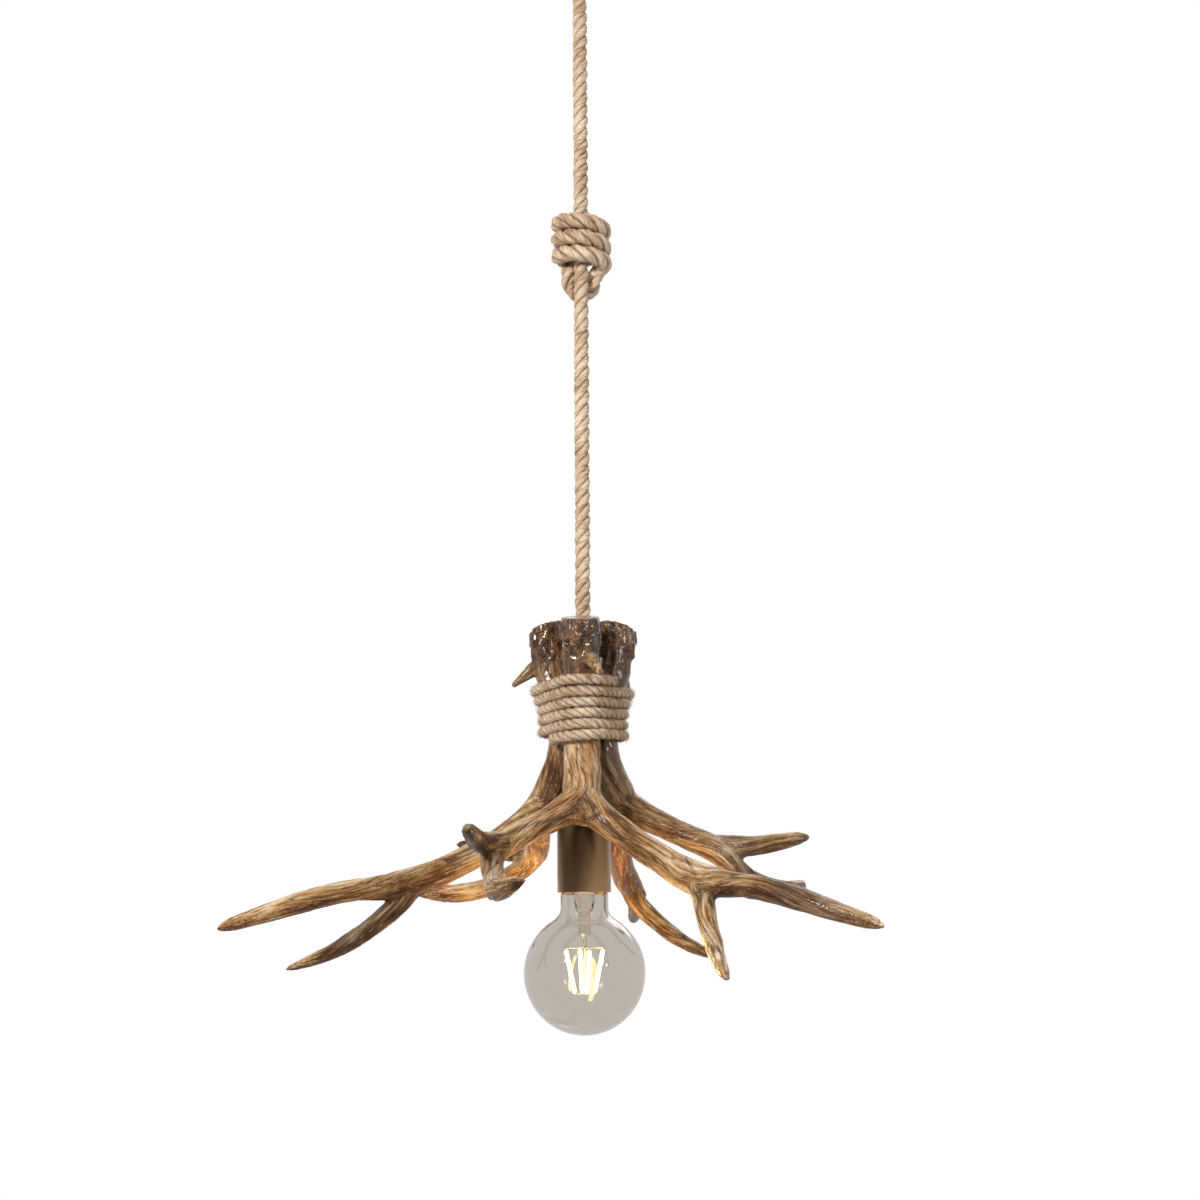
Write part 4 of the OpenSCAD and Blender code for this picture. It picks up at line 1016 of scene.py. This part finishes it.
def clear_glass(name, tint):
    """Glass that casts hardly a shadow."""
    m = material(name)
    path = m.add("LightPath").outputs
    rough = m.value_ramp(m.noise(m.place(), 18.0, 3.0), 0.3, 0.7, 0.0, 0.02)
    solid = m.add("BsdfGlass", {"Color": tint, "Roughness": rough, "IOR": 1.5})
    through = m.add("BsdfTransparent", {"Color": GLASS_SHADE})
    ghost = m.math("MAXIMUM", path["Is Shadow Ray"], path["Is Diffuse Ray"])
    return m.finish(m.blend(ghost, solid, through))


def brushed_bronze():
    m = material("brushed_bronze")
    place = m.place()
    brush = m.noise(place, 1.0, 4.0, 0.6, stretch=(40.0, 40.0, 1400.0))
    stain = m.noise(place, 26.0, stretch=(1.0, 1.0, 0.35))
    # Darker bronze where the cover has painted reflection and painted shadow.
    patina = m.value_ramp(m.attribute("patina"), 0.15, 0.85, 0.0, 0.92)
    return m.finish(m.add("BsdfPrincipled", {
        "Base Color": m.mix(patina, m.ramp(stain, BRONZE), m.ramp(stain, BRONZE_IN_SHADE)),
        "Metallic": 0.85, "Roughness": m.value_ramp(brush, 0.3, 0.7, 0.30, 0.44),
        "Normal": m.bump(brush, 0.12, 0.0002)}))


def plain_metal(name, colour, roughness, metallic=1.0, scratch=0.15):
    m = material(name)
    place = m.place()
    spots = m.noise(place, 55.0, 5.0, 0.6)
    scratches = m.noise(place, 1.0, 3.0, stretch=(30.0, 30.0, 600.0))
    darker, lighter = tuple(0.725 * c for c in colour), tuple(min(1, 1.12 * c) for c in colour)
    return m.finish(m.add("BsdfPrincipled", {
        "Base Color": m.ramp(spots, ((0.30, darker), (0.55, colour), (0.80, lighter))),
        "Metallic": metallic, "Normal": m.bump(scratches, scratch, 0.0002),
        "Roughness": m.value_ramp(spots, 0.3, 0.7, 0.8 * roughness, 1.3 * roughness)}))


def moulded(name, colour, roughness, coat=0.0):
    m = material(name)
    place = m.place()
    tone, pits = m.noise(place, 40.0), m.noise(place, 900.0, 3.0)
    darker = tuple(0.88 * c for c in colour)
    return m.finish(m.add("BsdfPrincipled", {
        "Base Color": m.ramp(tone, ((0.3, darker), (0.7, colour))), "Roughness": roughness,
        "Coat Weight": coat, "Coat Roughness": 0.08, "Normal": m.bump(pits, 0.12, 0.0001)}))


def glowing():
    m = material("glowing_filament")
    colour = m.ramp(m.noise(m.place(), 260.0, 2.0), GLOWING)
    return m.finish(m.add("Emission", {"Color": colour, "Strength": GLOW}))


def assign(obj, surface):
    obj.data.materials.clear()
    obj.data.materials.append(surface)


def carried(surface, *nodes):
    """The CAD's own solids, with a material."""
    for node in nodes:
        assign(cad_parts[node], surface)


resin = antler_resin()
for antler in antlers:
    assign(antler, resin)
    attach(antler, "pendant")
jute_rope = jute()
for piece, node in ((rope, "rope"), (knot, "knot"), (binding, "rope_binding")):
    assign(piece, jute_rope)
    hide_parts(node)
    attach(piece, "pendant")
assign(cover, brushed_bronze())
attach(cover, "pendant")
assign(glass, clear_glass("bulb_clear_glass", BULB_TINT))
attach(glass, "bulb")
assign(stem, clear_glass("stem_glass", STEM_TINT))
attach(stem, "bulb")
assign(sticks, glowing())
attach(sticks, "bulb")

carried(plain_metal("dark_bronze", (0.17, 0.115, 0.07), 0.38, metallic=0.9),
        "canopy_cup", "screw_collar", "hang_loop", "link", "rope_eye", "upper_ferrule",
        "lower_ferrule")
carried(plain_metal("zinc_plate", (0.62, 0.62, 0.60), 0.35), "ceiling_bracket")
carried(plain_metal("bright_brass", (0.78, 0.58, 0.25), 0.25),
        "bracket_nuts", "earth_screw", "stem_nuts", "screw_shell", "contact_bush", "centre_contact")
carried(plain_metal("plated_steel", (0.66, 0.65, 0.62), 0.3),
        "terminal_screws", "antler_screws", "stem_tube", "filament_wires")
carried(plain_metal("cast_alloy", (0.50, 0.48, 0.45), 0.5, scratch=0.3), "hub_core")
carried(plain_metal("cap_alloy", (0.74, 0.73, 0.70), 0.3), "bulb_cap", "bulb_tip")
carried(moulded("block_plastic", (0.90, 0.89, 0.84), 0.5), "terminal_block")
carried(moulded("lead_rubber", (0.05, 0.05, 0.05), 0.6), "lead")
carried(moulded("porcelain", (0.90, 0.89, 0.86), 0.25, coat=0.6), "holder_body")
carried(moulded("black_glass", (0.03, 0.03, 0.03), 0.12, coat=0.5), "bulb_insulator")


# Stage.

FLOOR_HALF = 5.0
FLOOR_Z = -2.1
FLOOR_WHITE = 0.96      # the white part of the floor; the rest of it takes the object's shadow
AMBIENT = 0.42
LAMPS_AIM = (0, 0, -0.85)
# Each lamp: name, place and size in metres, power in watts, colour.
LAMPS = (("key", (-0.9, -1.3, -0.2), 0.28, 24, (1, 0.99, 0.97)),
         ("fill", (1.0, -1.2, -0.45), 0.28, 6.5, (1, 1, 1)),
         ("back", (0.5, 1.2, -0.2), 0.6, 2.5, (1, 1, 1)))


def add_floor():
    mesh = bpy.data.meshes.new("floor")
    corners = [(x * FLOOR_HALF, y * FLOOR_HALF, FLOOR_Z)
               for x, y in ((-1, -1), (1, -1), (1, 1), (-1, 1))]
    mesh.from_pydata(corners, [], [(0, 1, 2, 3)])
    m = material("pale_floor")
    paint = m.add("BsdfDiffuse", {"Color": (0.8, 0.8, 0.8)})
    white = m.add("Emission", {"Color": (1, 1, 1), "Strength": 1.0})
    mesh.materials.append(m.finish(m.blend(m.times(m.to_eye(), FLOOR_WHITE), paint, white)))
    add_object("floor", mesh)


def add_world():
    """White to the camera, in reflections and through glass, and soft light from all round."""
    w = Nodes(bpy.data.worlds.new("studio"), "OutputWorld")
    light = w.add("Background", {"Color": (0.98, 0.99, 1.0), "Strength": AMBIENT})
    wall = w.add("Background", {"Color": (1, 1, 1), "Strength": 1.0})
    bpy.context.scene.world = w.finish(w.blend(w.to_eye(), light, wall))


def area_light(name, at, size, power, colour):
    data = bpy.data.lights.new(name, "AREA")
    data.energy = power
    data.color = colour
    data.shape = "SQUARE"
    data.size = size
    lamp = add_object(name, data)
    aim = (Vector(LAMPS_AIM) - Vector(at)).to_track_quat("-Z", "Y")
    lamp.matrix_world = Matrix.Translation(at) @ aim.to_matrix().to_4x4()
    lamp.visible_camera = False


add_floor()
add_world()
for lamp in LAMPS:
    area_light(*lamp)
bpy.context.scene.view_settings.view_transform = "Standard"
